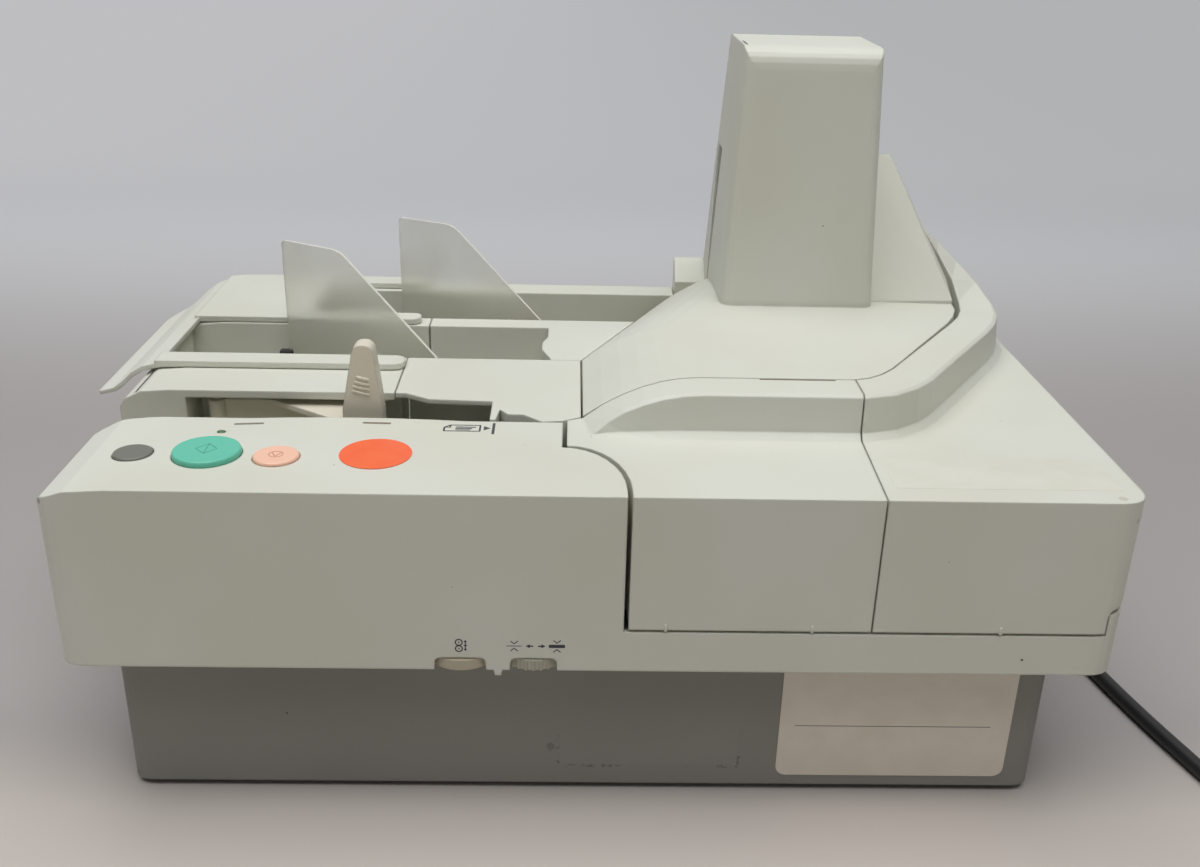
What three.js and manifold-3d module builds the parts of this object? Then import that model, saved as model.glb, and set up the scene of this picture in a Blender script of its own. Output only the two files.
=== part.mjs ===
// A cheque scanner for a bank counter, in millimetres, +Z up.
// Cheques stand on edge in the hopper behind the control panel. They run along the front of the
// transport, round its right end, and back behind the tower into two pockets on the left.
// The model is laid out from the front face of the housing (Y = 0), the middle of its width
// (X = 0) and the surface it stands on (Z = 0), and the whole is then set on its own box.
import * as THREE from "three";
import { mergeVertices } from "three/addons/utils/BufferGeometryUtils.js";
import { ConvexGeometry } from "three/addons/geometries/ConvexGeometry.js";
import Module from "manifold-3d";

// Overall sizes of the housing
const panelWidth = 219.5;
const transportWidth = 245.5;
const panelDepth = 78;
const hopperDepth = 34;
const feedDeckDepth = 51;
const pocketDepth = 53;
const dividerDepth = 14;
const rearTroughDepth = 19;
const housingBottom = 76.6;
const housingHeight = 84.8;
const plateauRise = 20.6;
const towerHeight = 137.5;
const cornerRadius = 14;

// Walls and clearances
const wall = 2.6;
const gap = 0.3;
const seam = 0.7;
const doorSeam = 1.4;
const doorLeadIn = 3.7;
const runningClearance = 0.25;
const labelGap = 0.1;
const labelThickness = 0.3;
const overrun = 30;
const weld = 0.0001;
const finestEdge = 0.01;

// Base tray, feet and chassis
const footRadius = 9;
const footHeight = 3;
const footInset = 16;
const footStudRadius = 3;
const trayLeftInset = 18.8;
const trayRightInset = 21.6;
const trayFront = 15.4;
const trayRearInset = 12;
const trayCorner = 10;
const postRadius = 5;
const postInset = 26;
const chassisRise = 11.8;
const chassisThickness = 2;
const chassisMargin = 1;
const bossHeight = 6;

// Control panel, skirt and the corner where the door begins
const deckBulge = 5;
const deckBulgeInset = 72.5;
const deckBulgeWidth = 100;
const deckBackCorner = 26;
const cornerWidth = 27.7;
const cornerBack = 51;
const cornerFront = 7.2;
const endRoundLength = 32;
const endRoundDrop = 9;
const skirtHeight = 19.8;
const sideSkirtHeight = 30.4;
const sideSkirtFront = 20;
const sideSkirtInset = 8.5;
const ledgeDepth = 6;
const cornerLagShare = 0.3;

// Hopper, pockets and dividers
const pocketInset = 6.5;
const recessInset = 32.5;
const recessDepth = 25;
const stackerEndRound = 24;
const stackerEndDrop = 9;
const feedDeckWidth = 91;
const feedDeckLap = 7;
const exitDeckInset = 11;
const exitArmInset = 78.3;

// Transport path, the ramp up to the plateau and the ring round it
const rampInset = 8;
const rampLength = 55;
const pathInset = 8.4;
const rampSteps = 6;
const pathLeadIn = 1.5;
const slotNarrow = 0.8;
const slotWide = 3.4;
const bandWidth = 20;
const bandFoot = 5;
const bandFootShare = 0.12;
const bandWaistShare = 0.75;
const bandEdgeShare = 0.1;
const rimRiseInset = 7;
const rimSlope = 0.8;
const bandSlope = 0.62;
const bandTaper = 0.2;
const coverInset = 41.9;
const strapLength = 60;
const strapWidth = 20;
const doorSplitInset = 112.5;
const doorSplitLean = 3;
const doorSplitDepth = 66;

// Tower, the guide wedge beside it and the rear cover
const towerWidth = 84.5;
const towerInset = 76.5;
const towerLeftTaper = 4.5;
const towerRightTaper = 8;
const towerDepth = 103;
const towerCorner = 7;
const towerTopRadius = 11;
const towerTopInset = 36;
const towerFootDrop = 9;
const slitTopInset = 44;
const slitRise = 75;
const slitFootInset = 30;
const slitFootDrop = 11;
const wedgeFootInset = 1.6;
const wedgeFootSetback = 12;
const wedgeTopWidth = 15;
const wedgePeakSetForward = 1;
const wedgePeakDrop = 1;
const humpRightRise = 41;
const humpShoulder = 18.5;
const bracketDepth = 17;
const bracketFrontRise = 8.1;
const bracketBackRise = 19.6;
const bracketLedge = 3.5;

// Cover hinge at the lower right edge
const hingeInset = 1.3;
const hingeRise = 31.9;
const coverSideGap = 3;
const knuckleRadius = 2.2;
const hingePinRadius = 1;
const knuckleLength = 8;
const knuckleGap = 0.4;
const hingeFrontY = 40;
const hingeLength = knuckleLength * 3 + knuckleGap * 2;
const hingeRearInset = 52;

// Left hood over the pockets
const hoodClearance = 0.5;
const hoodThickness = 3;
const hoodOverlap = 20;
const hoodBarDepth = 14;
const hoodMidInset = 1;
const hoodTongueDepth = 15;
const hoodOverhang = 22.5;
const hoodLipDrop = 15.4;
const hoodOpeningInset = 11;
const hoodPanelReach = 73.5;
const hoodRailDepth = 4;
const hoodRailWidth = 3;
const hoodTravel = 30;
const hoodBackCorner = 30;
const hoodCornerRadius = 20;

// Pusher in the hopper
const pusherPivotInset = 45.5;
const pusherPivotSetback = 9;
const pusherPinRadius = 2;
const pusherBarrelRadius = 4.5;
const pusherPlateThickness = 3;
const pusherPlateGap = 13;
const pusherFloorGap = 3;
const pusherPlateDrop = 7.4;
const pusherTabWidth = 19;
const pusherTabGap = 3;
const pusherTabReach = 32;
const pusherTabDepth = 10;
const pusherTabRise = 32.6;
const pusherTabTopWidth = 9;
const pusherShelfWidth = 40;
const pusherShelfThickness = 3;

// Swinging guides in the pockets
const guideThickness = 1.6;
const guideBarrelRadius = 3.2;
const guidePinRadius = 1.5;
const guideFloorGap = 1.2;
const guideOneInset = 16;
const guideOneSetback = 4.5;
const guideOneLength = 98;
const guideOneEndGap = 6.8;
const guideTwoInset = 14.5;
const guideTwoSetback = 5;
const guideTwoLength = 91;
const guideTwoEndGap = 17.5;
const guideRise = 50.6;
const guideFlatShare = 0.38;
const guideShoulderDrop = 0.4;

// Keys, lamp and sticker on the control panel
const keyTravel = 2;
const keyDepth = 9;
const keyClearance = 0.35;
const jogInset = 31.8;
const keyLineOffset = 1.7;
const jogRadius = 8.5;
const jogProud = 0.8;
const startInset = 63.8;
const startRadius = 14.75;
const startProud = 2.6;
const stopInset = 94.2;
const stopSetForward = 2.3;
const stopRadius = 10;
const stopProud = 1.4;
const keyEdge = 1;
const keyEdgeShare = 0.3;
const lampInset = 16.7;
const lampLength = 4.2;
const lampWidth = 2.6;
const lampProud = 0.3;
const lampDepth = 6;
const stickerInset = 136.5;
const stickerOffset = 0.5;
const stickerRadius = 15.85;
const keyBoardThickness = 1.6;
const keyBoardMargin = 8;
const switchSize = 6;
const switchHeight = 3.5;

// Thumb dials in the skirt
const dialRadius = 15.4;
const dialThickness = 5;
const dialY = 14;
const dialRise = 0.5;
const dialPinRadius = 2.5;
const dialTeeth = 28;
const dialToothDepth = 0.7;
const dialRollerInset = 44.5;
const dialRollerWindow = 27;
const dialGapInset = 12.5;
const dialGapWindow = 25;
const dialWindowHeight = 6.1;
const tabDrop = 2.8;

// Rollers, motors and the belt
const feedRollerInset = 17;
const feedRollerRadius = 11;
const feedRollerTopGap = 8.8;
const rollerProud = 3.2;
const nip = 0.6;
const driveRollerRadius = 9;
const driveProud = 0.25;
const driveRollerHeight = 24;
const pinchRollerRadius = 7;
const rollerFloorGap = 22.7;
const shaftRadius = 3;
const frontDriveInset = 12;
const sideDriveShare = 0.42;
const pulleyRadius = 9;
const pulleyFlange = 10.5;
const pulleyDrop = 1.6;
const pulleyHeight = 8;
const flangeThickness = 1;
const beltThickness = 1.4;
const motorSetback = 112;
const motorRadius = 24;
const motorHeight = 42;
const feedMotorSize = 42;
const feedMotorHeight = 38;
const shaftReach = 12;

// Sensors and heads along the path
const sensorPitch = 30;
const sensorWidth = 16;
const sensorDepth = 13;
const sensorHeight = 50;
const headInset = 35;
const headWidth = 14;
const headDepth = 12;
const headHeight = 14;
const cartridgeInset = 28;
const cartridgeWidth = 38;
const cartridgeDepth = 20;
const cartridgeHeight = 48;
const flapperInset = 25.3;
const flapperSetback = 24;
const flapperLength = 30;
const flapperRadius = 3;
const flapperDrop = 11.4;

// Boards, fan and the connectors on the rear of the tray
const boardThickness = 1.6;
const standoffHeight = 8;
const standoffRadius = 3.5;
const supplyLeftInset = 28.7;
const supplyRearInset = 120;
const supplyWidth = 120;
const supplyDepth = 85;
const controlRightInset = 40.9;
const controlFront = 60;
const controlWidth = 150;
const controlDepth = 120;
const fanLeftInset = 193.7;
const fanSize = 50;
const fanDepth = 15;
const fanBladeLength = 11;
const fanRim = 3;
const fanBlades = 7;
const fanBladeThickness = 1.4;
const grilleSlots = 6;
const grilleOpenShare = 0.5;
const fanBladePitch = 30;
const inletInset = 60.9;
const inletZ = 34;
const inletWidth = 28;
const inletHeight = 20;
const inletDepth = 22;
const flangeWidth = 62;
const flangeHeight = 28;
const socketWidth = 24;
const socketHeight = 16;
const socketDepth = 14;
const socketPinPitch = 6;
const rockerOffset = 27;
const rockerWidth = 12;
const rockerHeight = 19;
const rockerDepth = 9;
const rockerAngle = 8;
const rockerBodyShare = 0.6;
const rockerNeckShare = 0.4;
const rockerDish = 0.65;
const portPitch = 75;
const portWidth = 26;
const portHeight = 14;
const portDepth = 14;

// Blank label on the front of the tray
const labelWidth = 108;
const labelInset = 14.9;
const labelBottom = 9;

// Mains lead, 1.8 m long, with its connector and plug
const cordRadius = 4;
const cordLength = 1800;
const connectorWidth = 28;
const connectorHeight = 21;
const connectorLength = 30;
const reliefLength = 26;
const reliefTip = 5;
const reliefRoot = 7.5;
const plugRelief = 20;
const cordSides = 8;
const cordStep = 20;
const coilSides = 6;
const coilPitch = 8.9;
const layerPitch = 8.7;
const coilDip = 3;
const loopSteps = 24;
const turnsIn = 2;
const climbTurn = 0.5;
const plugWidth = 30;
const plugHeight = 25;
const plugLength = 40;
const bladeThickness = 1.6;
const bladeWidth = 6.4;
const bladeLength = 17;
const bladeSpacing = 12.7;
const earthPinRadius = 2.4;
const plugNeckShare = 0.3;
const plugShoulderShare = 0.35;

// How finely round faces and curves are divided
const toothSides = 6;
const pinSides = 12;
const studSides = 16;
const shaftSides = 20;
const roundSides = 24;
const tyreSides = 32;
const dialSides = 40;
const softCornerSteps = 3;
const towerCornerSteps = 4;
const deckCornerSteps = 8;
const beltSteps = 8;
const arcSteps = 6;
const halfTurn = 180;
const sharpestTurn = 0.5;

// Colours and finishes
const cream = { color: 0xdedcd2, roughness: 0.55, metalness: 0 };
const tabCream = { color: 0xd9cfc0, roughness: 0.5, metalness: 0 };
const slate = { color: 0x73757a, roughness: 0.6, metalness: 0 };
const black = { color: 0x1c1c1d, roughness: 0.55, metalness: 0 };
const rubber = { color: 0x2b2a29, roughness: 0.85, metalness: 0 };
const steel = { color: 0xa9abad, roughness: 0.35, metalness: 1 };
const zinc = { color: 0xb9bab5, roughness: 0.45, metalness: 0.9 };
const board = { color: 0x2f6b3f, roughness: 0.5, metalness: 0 };
const frosted = { color: 0xd8d8ce, roughness: 0.35, metalness: 0, transparent: true, opacity: 0.55 };
const teal = { color: 0x5fc3aa, roughness: 0.45, metalness: 0 };
const pink = { color: 0xfac3af, roughness: 0.45, metalness: 0 };
const keyGrey = { color: 0x6e706c, roughness: 0.5, metalness: 0 };
const orange = { color: 0xff6e46, roughness: 0.5, metalness: 0 };
const lampGreen = { color: 0x2e6b2c, roughness: 0.25, metalness: 0 };
const paper = { color: 0xeeeeea, roughness: 0.5, metalness: 0 };
const glass = { color: 0x20262a, roughness: 0.08, metalness: 0 };

// Places and sizes worked out from the ones above: the housing first, from its left edge and front
const housingWidth = panelWidth + transportWidth;
const halfWidth = housingWidth / 2;
const deckBack = panelDepth;
const deckEnd = panelWidth - halfWidth;
const hopperBack = deckBack + hopperDepth;
const pocketOneFront = hopperBack + feedDeckDepth;
const pocketOneBack = pocketOneFront + pocketDepth;
const pocketTwoFront = pocketOneBack + dividerDepth;
const pocketTwoBack = pocketTwoFront + pocketDepth;
const housingDepth = pocketTwoBack + rearTroughDepth;
const rearWallFront = housingDepth - wall;

// Heights
const trayBottom = footHeight + gap;
const trayFloor = trayBottom + wall;
const trayTop = housingBottom - gap * 2;
const deckHeight = housingBottom + housingHeight;
const deckUnder = deckHeight - wall;
const plateau = deckHeight + plateauRise;
const towerTop = plateau + towerHeight;
const skirtTop = housingBottom + skirtHeight;
const sideSkirtTop = housingBottom + sideSkirtHeight;
const chassisBottom = housingBottom + chassisRise;
const chassisTop = chassisBottom + chassisThickness;
const floorBottom = chassisTop + gap;
const pocketFloor = floorBottom + wall;
const doorBottom = skirtTop + doorSeam;
const coverSideBottom = sideSkirtTop + coverSideGap;

// Tray, panel, hopper and pockets
const trayLeft = trayLeftInset - halfWidth;
const trayRight = halfWidth - trayRightInset;
const trayBack = housingDepth - trayRearInset;
const supplyLeft = trayLeft + supplyLeftInset;
const supplyFront = trayBack - supplyRearInset;
const controlLeft = trayRight - controlRightInset - controlWidth;
const fanX = trayLeft + fanLeftInset;
const fanBladeRadius = fanSize / 2 - fanRim;
const fanHubRadius = fanBladeRadius - fanBladeLength;
const deckBulgeLeft = deckBulgeInset - halfWidth;
const deckBulgeRight = deckBulgeLeft + deckBulgeWidth;
const sideSkirtStart = halfWidth - sideSkirtInset;
const pocketLeft = pocketInset - halfWidth;
const recessLeft = recessInset - halfWidth;
const feedDeckRight = deckEnd + feedDeckLap;
const feedDeckLeft = feedDeckRight - feedDeckWidth;
const exitDeckLeft = deckEnd - exitDeckInset;
const exitArmLeft = deckEnd - exitArmInset;

// Transport, tower, wedge and rear cover
const rampLeft = deckEnd + rampInset;
const coverRight = halfWidth - coverInset;
const doorSplit = halfWidth - doorSplitInset;
const doorSplitBack = doorSplit + doorSplitLean;
const towerRight = halfWidth - towerInset;
const towerLeft = towerRight - towerWidth;
const towerTopLeft = towerLeft + towerLeftTaper;
const towerTopRight = towerRight - towerRightTaper;
const towerFront = housingDepth - towerDepth;
const towerTopBack = housingDepth - towerTopInset;
const towerFootBack = plateau - towerFootDrop;
const rimRiseStart = towerFront + rimRiseInset;
const slitTopY = housingDepth - slitTopInset;
const slitTopZ = plateau + slitRise;
const slitFootY = housingDepth - slitFootInset;
const slitFootZ = plateau - slitFootDrop;
const wedgeFoot = coverRight - wedgeFootInset;
const wedgeFootY = towerFront + wedgeFootSetback;
const wedgePeak = towerRight + wedgeTopWidth;
const wedgePeakY = slitTopY - wedgePeakSetForward;
const wedgePeakZ = slitTopZ - wedgePeakDrop;
const humpRightZ = plateau + humpRightRise;
const humpLeft = towerLeft - humpShoulder;
const bodyRight = humpLeft - seam - gap;
const bracketFrontY = housingDepth - bracketDepth;
const bracketBackY = housingDepth - bracketLedge;
const bracketLow = deckHeight + bracketFrontRise;
const bracketHigh = deckHeight + bracketBackRise;
const hingeX = halfWidth - hingeInset;
const hingeZ = housingBottom + hingeRise;
const hingeRearY = housingDepth - hingeRearInset;

// Hood, pusher and guides
const hoodTip = -halfWidth - hoodOverhang;
const hoodOpeningLeft = hoodOpeningInset - halfWidth;
const hoodPanelRight = hoodPanelReach - halfWidth;
const hoodFingerRight = feedDeckLeft;
const hoodFront = pocketOneFront - hoodOverlap;
const hoodBarBack = hoodFront + hoodBarDepth;
const hoodMidFront = pocketOneBack + hoodMidInset;
const hoodMidBack = pocketTwoFront - hoodMidInset;
const hoodRearTongueFront = housingDepth - hoodTongueDepth;
const hoodBack = housingDepth;
const hoodLipZ = deckHeight - hoodLipDrop;
const pusherPivotX = pusherPivotInset - halfWidth;
const pusherPivotY = hopperBack + pusherPivotSetback;
const pusherPlateRight = feedDeckLeft - pusherPlateGap;
const pusherPlateTop = deckHeight - pusherPlateDrop;
const pusherTabRight = feedDeckLeft - pusherTabGap;
const pusherTabLeft = pusherTabRight - pusherTabWidth;
const pusherTabFront = pusherPivotY - pusherTabReach;
const pusherTabTop = deckHeight + pusherTabRise;
const pusherShelfLeft = pusherTabLeft - pusherShelfWidth;
const guideOneX = feedDeckLeft + guideOneInset;
const guideOneY = pocketOneFront + guideOneSetback;
const guideTwoX = deckEnd - guideTwoInset;
const guideTwoY = pocketTwoFront + guideTwoSetback;
const guideTop = deckHeight + guideRise;
const guideShoulderZ = deckHeight - guideShoulderDrop;

// Keys, lamp, sticker and dials
const keyLine = deckBack / 2 - keyLineOffset;
const jogX = jogInset - halfWidth;
const jogY = keyLine;
const startX = startInset - halfWidth;
const startY = keyLine;
const stopX = stopInset - halfWidth;
const stopY = keyLine - stopSetForward;
const lampX = startX;
const lampY = deckBack - lampInset;
const stickerX = stickerInset - halfWidth;
const stickerY = deckBack / 2 + stickerOffset;
const dialBottom = housingBottom + dialRise;
const dialRollerX = deckEnd - dialRollerInset;
const dialGapX = deckEnd - dialGapInset;
const windowTop = housingBottom + dialWindowHeight;

// Rollers, motor, heads and flapper
const feedRollerX = deckEnd - feedRollerInset;
const rollerBottom = pocketFloor + rollerFloorGap;
const feedRollerHeight = deckUnder - feedRollerTopGap - rollerBottom;
const frontDriveX = rampLeft + rampLength + frontDriveInset;
const pulleyTop = chassisBottom - pulleyDrop;
const motorX = frontDriveX;
const motorY = deckBack + motorSetback;
const sensorX = frontDriveX + sensorPitch;
const headX = rampLeft + headInset;
const cartridgeX = towerRight - cartridgeInset;
const flapperY = pocketTwoFront + flapperSetback;
const flapperTop = deckHeight - flapperDrop;

// Rear connectors and the label
const inletX = trayRight - inletInset;
const portX = inletX - portPitch;
const labelRight = trayRight - labelInset;
const labelLeft = labelRight - labelWidth;

const wasm = await Module();
wasm.setup();

// The line the cheques run along, on the inner side, as shares of the transport's width and of the
// depth behind the front run
const pathShares = [
  [0.549, 0],
  [0.581, 0.011],
  [0.612, 0.037],
  [0.64, 0.074],
  [0.668, 0.122],
  [0.7495, 0.2645],
  [0.831, 0.407],
  [0.856, 0.46],
  [0.874, 0.515],
  [0.88, 0.566],
  [0.8738, 0.619],
  [0.8534, 0.68],
  [0.8285, 0.742],
  [0.8065, 0.7905],
  [0.774, 0.829],
  [0.7285, 0.851],
  [0.6638, 0.8571],
];
// Where in that list the straight run down the right side begins
const sideRunShare = 4;

const spot = (x, y) => new THREE.Vector2(x, y);

// A closed solid from a three.js geometry, with the corners that its faces share made one
function solid(geometry) {
  const bare = geometry.index ? geometry.toNonIndexed() : geometry.clone();
  for (const name of Object.keys(bare.attributes)) {
    if (name !== "position") bare.deleteAttribute(name);
  }
  const merged = mergeVertices(bare, weld);
  return new wasm.Manifold(
    new wasm.Mesh({
      numProp: 3,
      vertProperties: merged.attributes.position.array,
      triVerts: new Uint32Array(merged.index.array),
    }),
  );
}

const join = (...bodies) => bodies.reduce((whole, body) => whole.add(body));
const cut = (whole, ...tools) => tools.reduce((rest, tool) => rest.subtract(tool), whole);
const common = (...bodies) => bodies.reduce((whole, body) => whole.intersect(body));

// A box between two values on each axis
function block([left, right], [front, back], [bottom, top]) {
  const geometry = new THREE.BoxGeometry(right - left, back - front, top - bottom);
  geometry.translate((left + right) / 2, (front + back) / 2, (bottom + top) / 2);
  return solid(geometry);
}

// An outline through corners given as [x, y, radius]
function outline(corners) {
  const shape = new THREE.Shape();
  corners.forEach(([x, y, radius = 0], i) => {
    const here = spot(x, y);
    const before = spot(...corners.at(i - 1)).sub(here);
    const after = spot(...corners[(i + 1) % corners.length]).sub(here);
    const enter = before.setLength(radius).add(here);
    const leave = after.setLength(radius).add(here);
    if (i === 0) shape.moveTo(enter.x, enter.y);
    else shape.lineTo(enter.x, enter.y);
    if (radius > 0) shape.quadraticCurveTo(x, y, leave.x, leave.y);
  });
  shape.closePath();
  return shape;
}

function extruded(shape, length, steps = arcSteps) {
  const settings = { depth: length, bevelEnabled: false, curveSegments: steps };
  return new THREE.ExtrudeGeometry(shape, settings);
}

// A plan shape raised between two heights
function raised(shape, bottom, top, steps) {
  return solid(extruded(shape, top - bottom, steps).translate(0, 0, bottom));
}

// A shape drawn in X and Z, carried along Y
function alongY(shape, front, back, steps) {
  const geometry = extruded(shape, back - front, steps).rotateX(Math.PI / 2);
  return solid(geometry.translate(0, back, 0));
}

// A shape drawn in Y and Z, carried along X
function alongX(shape, left, right, steps) {
  const geometry = extruded(shape, right - left, steps);
  const turn = new THREE.Matrix4().makeBasis(
    new THREE.Vector3(0, 1, 0),
    new THREE.Vector3(0, 0, 1),
    new THREE.Vector3(1, 0, 0),
  );
  return solid(geometry.applyMatrix4(turn).translate(left, 0, 0));
}

// Round bars along Z and along Y
function post([x, y], radius, bottom, top, sides = roundSides) {
  const geometry = new THREE.CylinderGeometry(radius, radius, top - bottom, sides);
  return solid(geometry.rotateX(Math.PI / 2).translate(x, y, (bottom + top) / 2));
}

function bar([x, z], radius, front, back, sides = studSides) {
  const geometry = new THREE.CylinderGeometry(radius, radius, back - front, sides);
  return solid(geometry.translate(x, (front + back) / 2, z));
}

// A closed skin through loops of points that all have the same count
function loft(sections) {
  const count = sections[0].length;
  const middle = (loop) =>
    loop.reduce((sum, point) => sum.add(point), new THREE.Vector3()).divideScalar(loop.length);
  const facing = (loop) =>
    loop.reduce(
      (sum, point, i) => sum.add(point.clone().cross(loop[(i + 1) % loop.length])),
      new THREE.Vector3(),
    );
  const forward = middle(sections[1]).sub(middle(sections[0]));
  const loops = facing(sections[0]).dot(forward) > 0 ? sections : sections.map((s) => [...s].reverse());
  const faces = [];
  for (let s = 0; s + 1 < loops.length; s += 1) {
    for (let p = 0; p < count; p += 1) {
      const a = s * count + p;
      const b = s * count + ((p + 1) % count);
      faces.push(a, b, b + count, a, b + count, a + count);
    }
  }
  const cap = (loop, start, backwards) => {
    const normal = facing(loop).normalize();
    const across = new THREE.Vector3(0, 0, 1).cross(normal).normalize();
    const up = normal.clone().cross(across);
    const flat = loop.map((point) => spot(point.dot(across), point.dot(up)));
    for (const [i, j, k] of THREE.ShapeUtils.triangulateShape(flat, [])) {
      const turn = flat[j].clone().sub(flat[i]).cross(flat[k].clone().sub(flat[i]));
      const [m, n] = turn > 0 !== backwards ? [j, k] : [k, j];
      faces.push(start + i, start + m, start + n);
    }
  };
  cap(loops[0], 0, true);
  cap(loops.at(-1), (loops.length - 1) * count, false);
  const positions = loops.flat().flatMap((point) => [point.x, point.y, point.z]);
  const geometry = new THREE.BufferGeometry();
  geometry.setAttribute("position", new THREE.Float32BufferAttribute(positions, 3));
  geometry.setIndex(faces);
  return solid(geometry);
}

const convex = (points) => solid(new ConvexGeometry(points.map((p) => new THREE.Vector3(...p))));

// An open line moved sideways, to its right, by a distance that may change along it
function beside(line, distance) {
  return line.map((point, i) => {
    const before = line[Math.max(i - 1, 0)];
    const after = line[Math.min(i + 1, line.length - 1)];
    const into = (i > 0 ? point.clone().sub(before) : after.clone().sub(point)).normalize();
    const out = (i + 1 < line.length ? after.clone().sub(point) : into.clone()).normalize();
    const along = into.clone().add(out).normalize();
    const away = spot(along.y, -along.x);
    const stretch = 1 / Math.max(along.dot(out), sharpestTurn);
    return point.clone().addScaledVector(away, distance(i) * stretch);
  });
}

const planOf = (points) => new THREE.Shape(points);

const group = new THREE.Group();
const cordGroup = new THREE.Group();

function addPiece(name, body, finish, holder = group) {
  const mesh = body.simplify(finestEdge).getMesh();
  const geometry = new THREE.BufferGeometry();
  geometry.setAttribute("position", new THREE.BufferAttribute(mesh.vertProperties, 3));
  geometry.setIndex(new THREE.BufferAttribute(mesh.triVerts, 1));
  geometry.computeVertexNormals();
  const piece = new THREE.Mesh(geometry, new THREE.MeshStandardMaterial(finish));
  piece.name = name;
  holder.add(piece);
  return piece;
}

// Height of the ramp that climbs from the deck to the plateau, a given way in from its left edge
function rampHeight(distance) {
  const share = THREE.MathUtils.clamp(distance / rampLength, 0, 1);
  return deckHeight + plateauRise * (1 - (1 - share) ** 2);
}

const rimHeight = (y, slope) => plateau + Math.max(y - rimRiseStart, 0) * slope;

// The inner edge of the cheque slot from the left end of the ramp to the back of the tower
function pathLine() {
  const y = deckBack + pathInset;
  const front = [spot(rampLeft, y - pathLeadIn)];
  for (let i = 1; i < rampSteps; i += 1) {
    front.push(spot(rampLeft + (rampLength * i) / rampSteps, y));
  }
  front.push(spot(rampLeft + rampLength, y));
  const round = pathShares.map(([across, back]) =>
    spot(deckEnd + transportWidth * across, y + (housingDepth - y) * back),
  );
  return [...front, ...round];
}

const path = pathLine();
const pathFront = path[1].y;
// The point of the path that lies farthest to the right
const bend = path.reduce((best, p, i) => (p.x > path[best].x ? i : best), 0);
const sideRunStart = rampSteps + 1 + sideRunShare;
const slotWidth = (i) => {
  const share = THREE.MathUtils.clamp((i - sideRunStart) / (bend - sideRunStart), 0, 1);
  return slotNarrow + (slotWide - slotNarrow) * share;
};
// The ring narrows as it rises behind the bend
const bandAt = (i) =>
  Math.max(bandWidth - Math.max(path[i].y - rimRiseStart, 0) * bandTaper, bandWidth / 2);
const slotOuter = beside(path, slotWidth);

// The left edge of the inner unit at deck level: straight beside the feed deck, then slanting back
const slantStart = pocketOneFront;
const slantSlope = (bodyRight - rampLeft) / (pocketTwoBack + wall - pocketOneFront);
const innerLeft = (y) => rampLeft + Math.max(y - slantStart, 0) * slantSlope;
const flapperX = innerLeft(flapperY) - flapperInset;

// Outline of the deck corner that the door is fitted round
function deckCorner(side) {
  const points = [];
  for (let i = 0; i <= deckCornerSteps; i += 1) {
    const angle = (Math.PI / 2) * (1 - i / deckCornerSteps);
    points.push(
      spot(
        deckEnd + side + cornerWidth * Math.sin(angle),
        cornerFront + (cornerBack - cornerFront + side) * Math.cos(angle),
      ),
    );
  }
  return points;
}

function tray() {
  const plan = (inset) =>
    outline([
      [trayLeft + inset, trayFront + inset, trayCorner],
      [trayRight - inset, trayFront + inset, trayCorner],
      [trayRight - inset, trayBack - inset, trayCorner],
      [trayLeft + inset, trayBack - inset, trayCorner],
    ]);
  const posts = trayCorners(postInset).map((at) =>
    post(at, postRadius, trayBottom, chassisBottom - gap),
  );
  const standoffs = [...boardCorners(supply), ...boardCorners(control)].map((at) =>
    post(at, standoffRadius, trayBottom, trayFloor + standoffHeight - gap, pinSides),
  );
  const footHoles = trayCorners(footInset).map((at) =>
    post(at, footStudRadius + runningClearance, trayBottom - overrun, trayFloor + overrun, studSides),
  );
  const rear = [trayBack - wall - overrun, trayBack + overrun];
  const inletHole = block(
    [inletX - inletWidth / 2 - gap, inletX + rockerOffset + rockerWidth / 2 + wall + gap],
    rear,
    [inletZ - inletHeight / 2 - gap, inletZ + inletHeight / 2 + gap],
  );
  const portHole = block(
    [portX - portWidth / 2 - gap, portX + portWidth / 2 + gap],
    rear,
    [inletZ - portHeight / 2 - gap, inletZ + portHeight / 2 + gap],
  );
  const slotPitch = fanSize / (grilleSlots + 1);
  const slotReach = (slotPitch * grilleOpenShare) / 2;
  const grille = [];
  for (let i = 1; i <= grilleSlots; i += 1) {
    const x = fanX - fanSize / 2 + slotPitch * i;
    grille.push(
      block(
        [x - slotReach, x + slotReach],
        rear,
        [fanCentreZ - fanBladeRadius, fanCentreZ + fanBladeRadius],
      ),
    );
  }
  return cut(
    join(
      cut(
        raised(plan(0), trayBottom, trayTop),
        raised(plan(wall), trayFloor, trayTop + overrun),
      ),
      ...posts,
      ...standoffs,
    ),
    ...footHoles,
    inletHole,
    portHole,
    ...grille,
  );
}

const fanCentreZ = trayFloor + gap + fanSize / 2;

function trayCorners(inset) {
  const left = trayLeft + inset;
  const right = trayRight - inset;
  const front = trayFront + inset;
  const back = trayBack - inset;
  return [
    [left, front],
    [right, front],
    [right, back],
    [left, back],
  ];
}

const supply = { left: supplyLeft, front: supplyFront, width: supplyWidth, depth: supplyDepth };
const control = { left: controlLeft, front: controlFront, width: controlWidth, depth: controlDepth };

function boardCorners({ left, front, width, depth }) {
  const inset = standoffRadius + wall / 2;
  return [
    [left + inset, front + inset],
    [left + width - inset, front + inset],
    [left + width - inset, front + depth - inset],
    [left + inset, front + depth - inset],
  ];
}

function foot(at) {
  return join(
    post(at, footRadius, 0, footHeight),
    post(at, footStudRadius, 0, trayFloor, studSides),
  );
}

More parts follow.
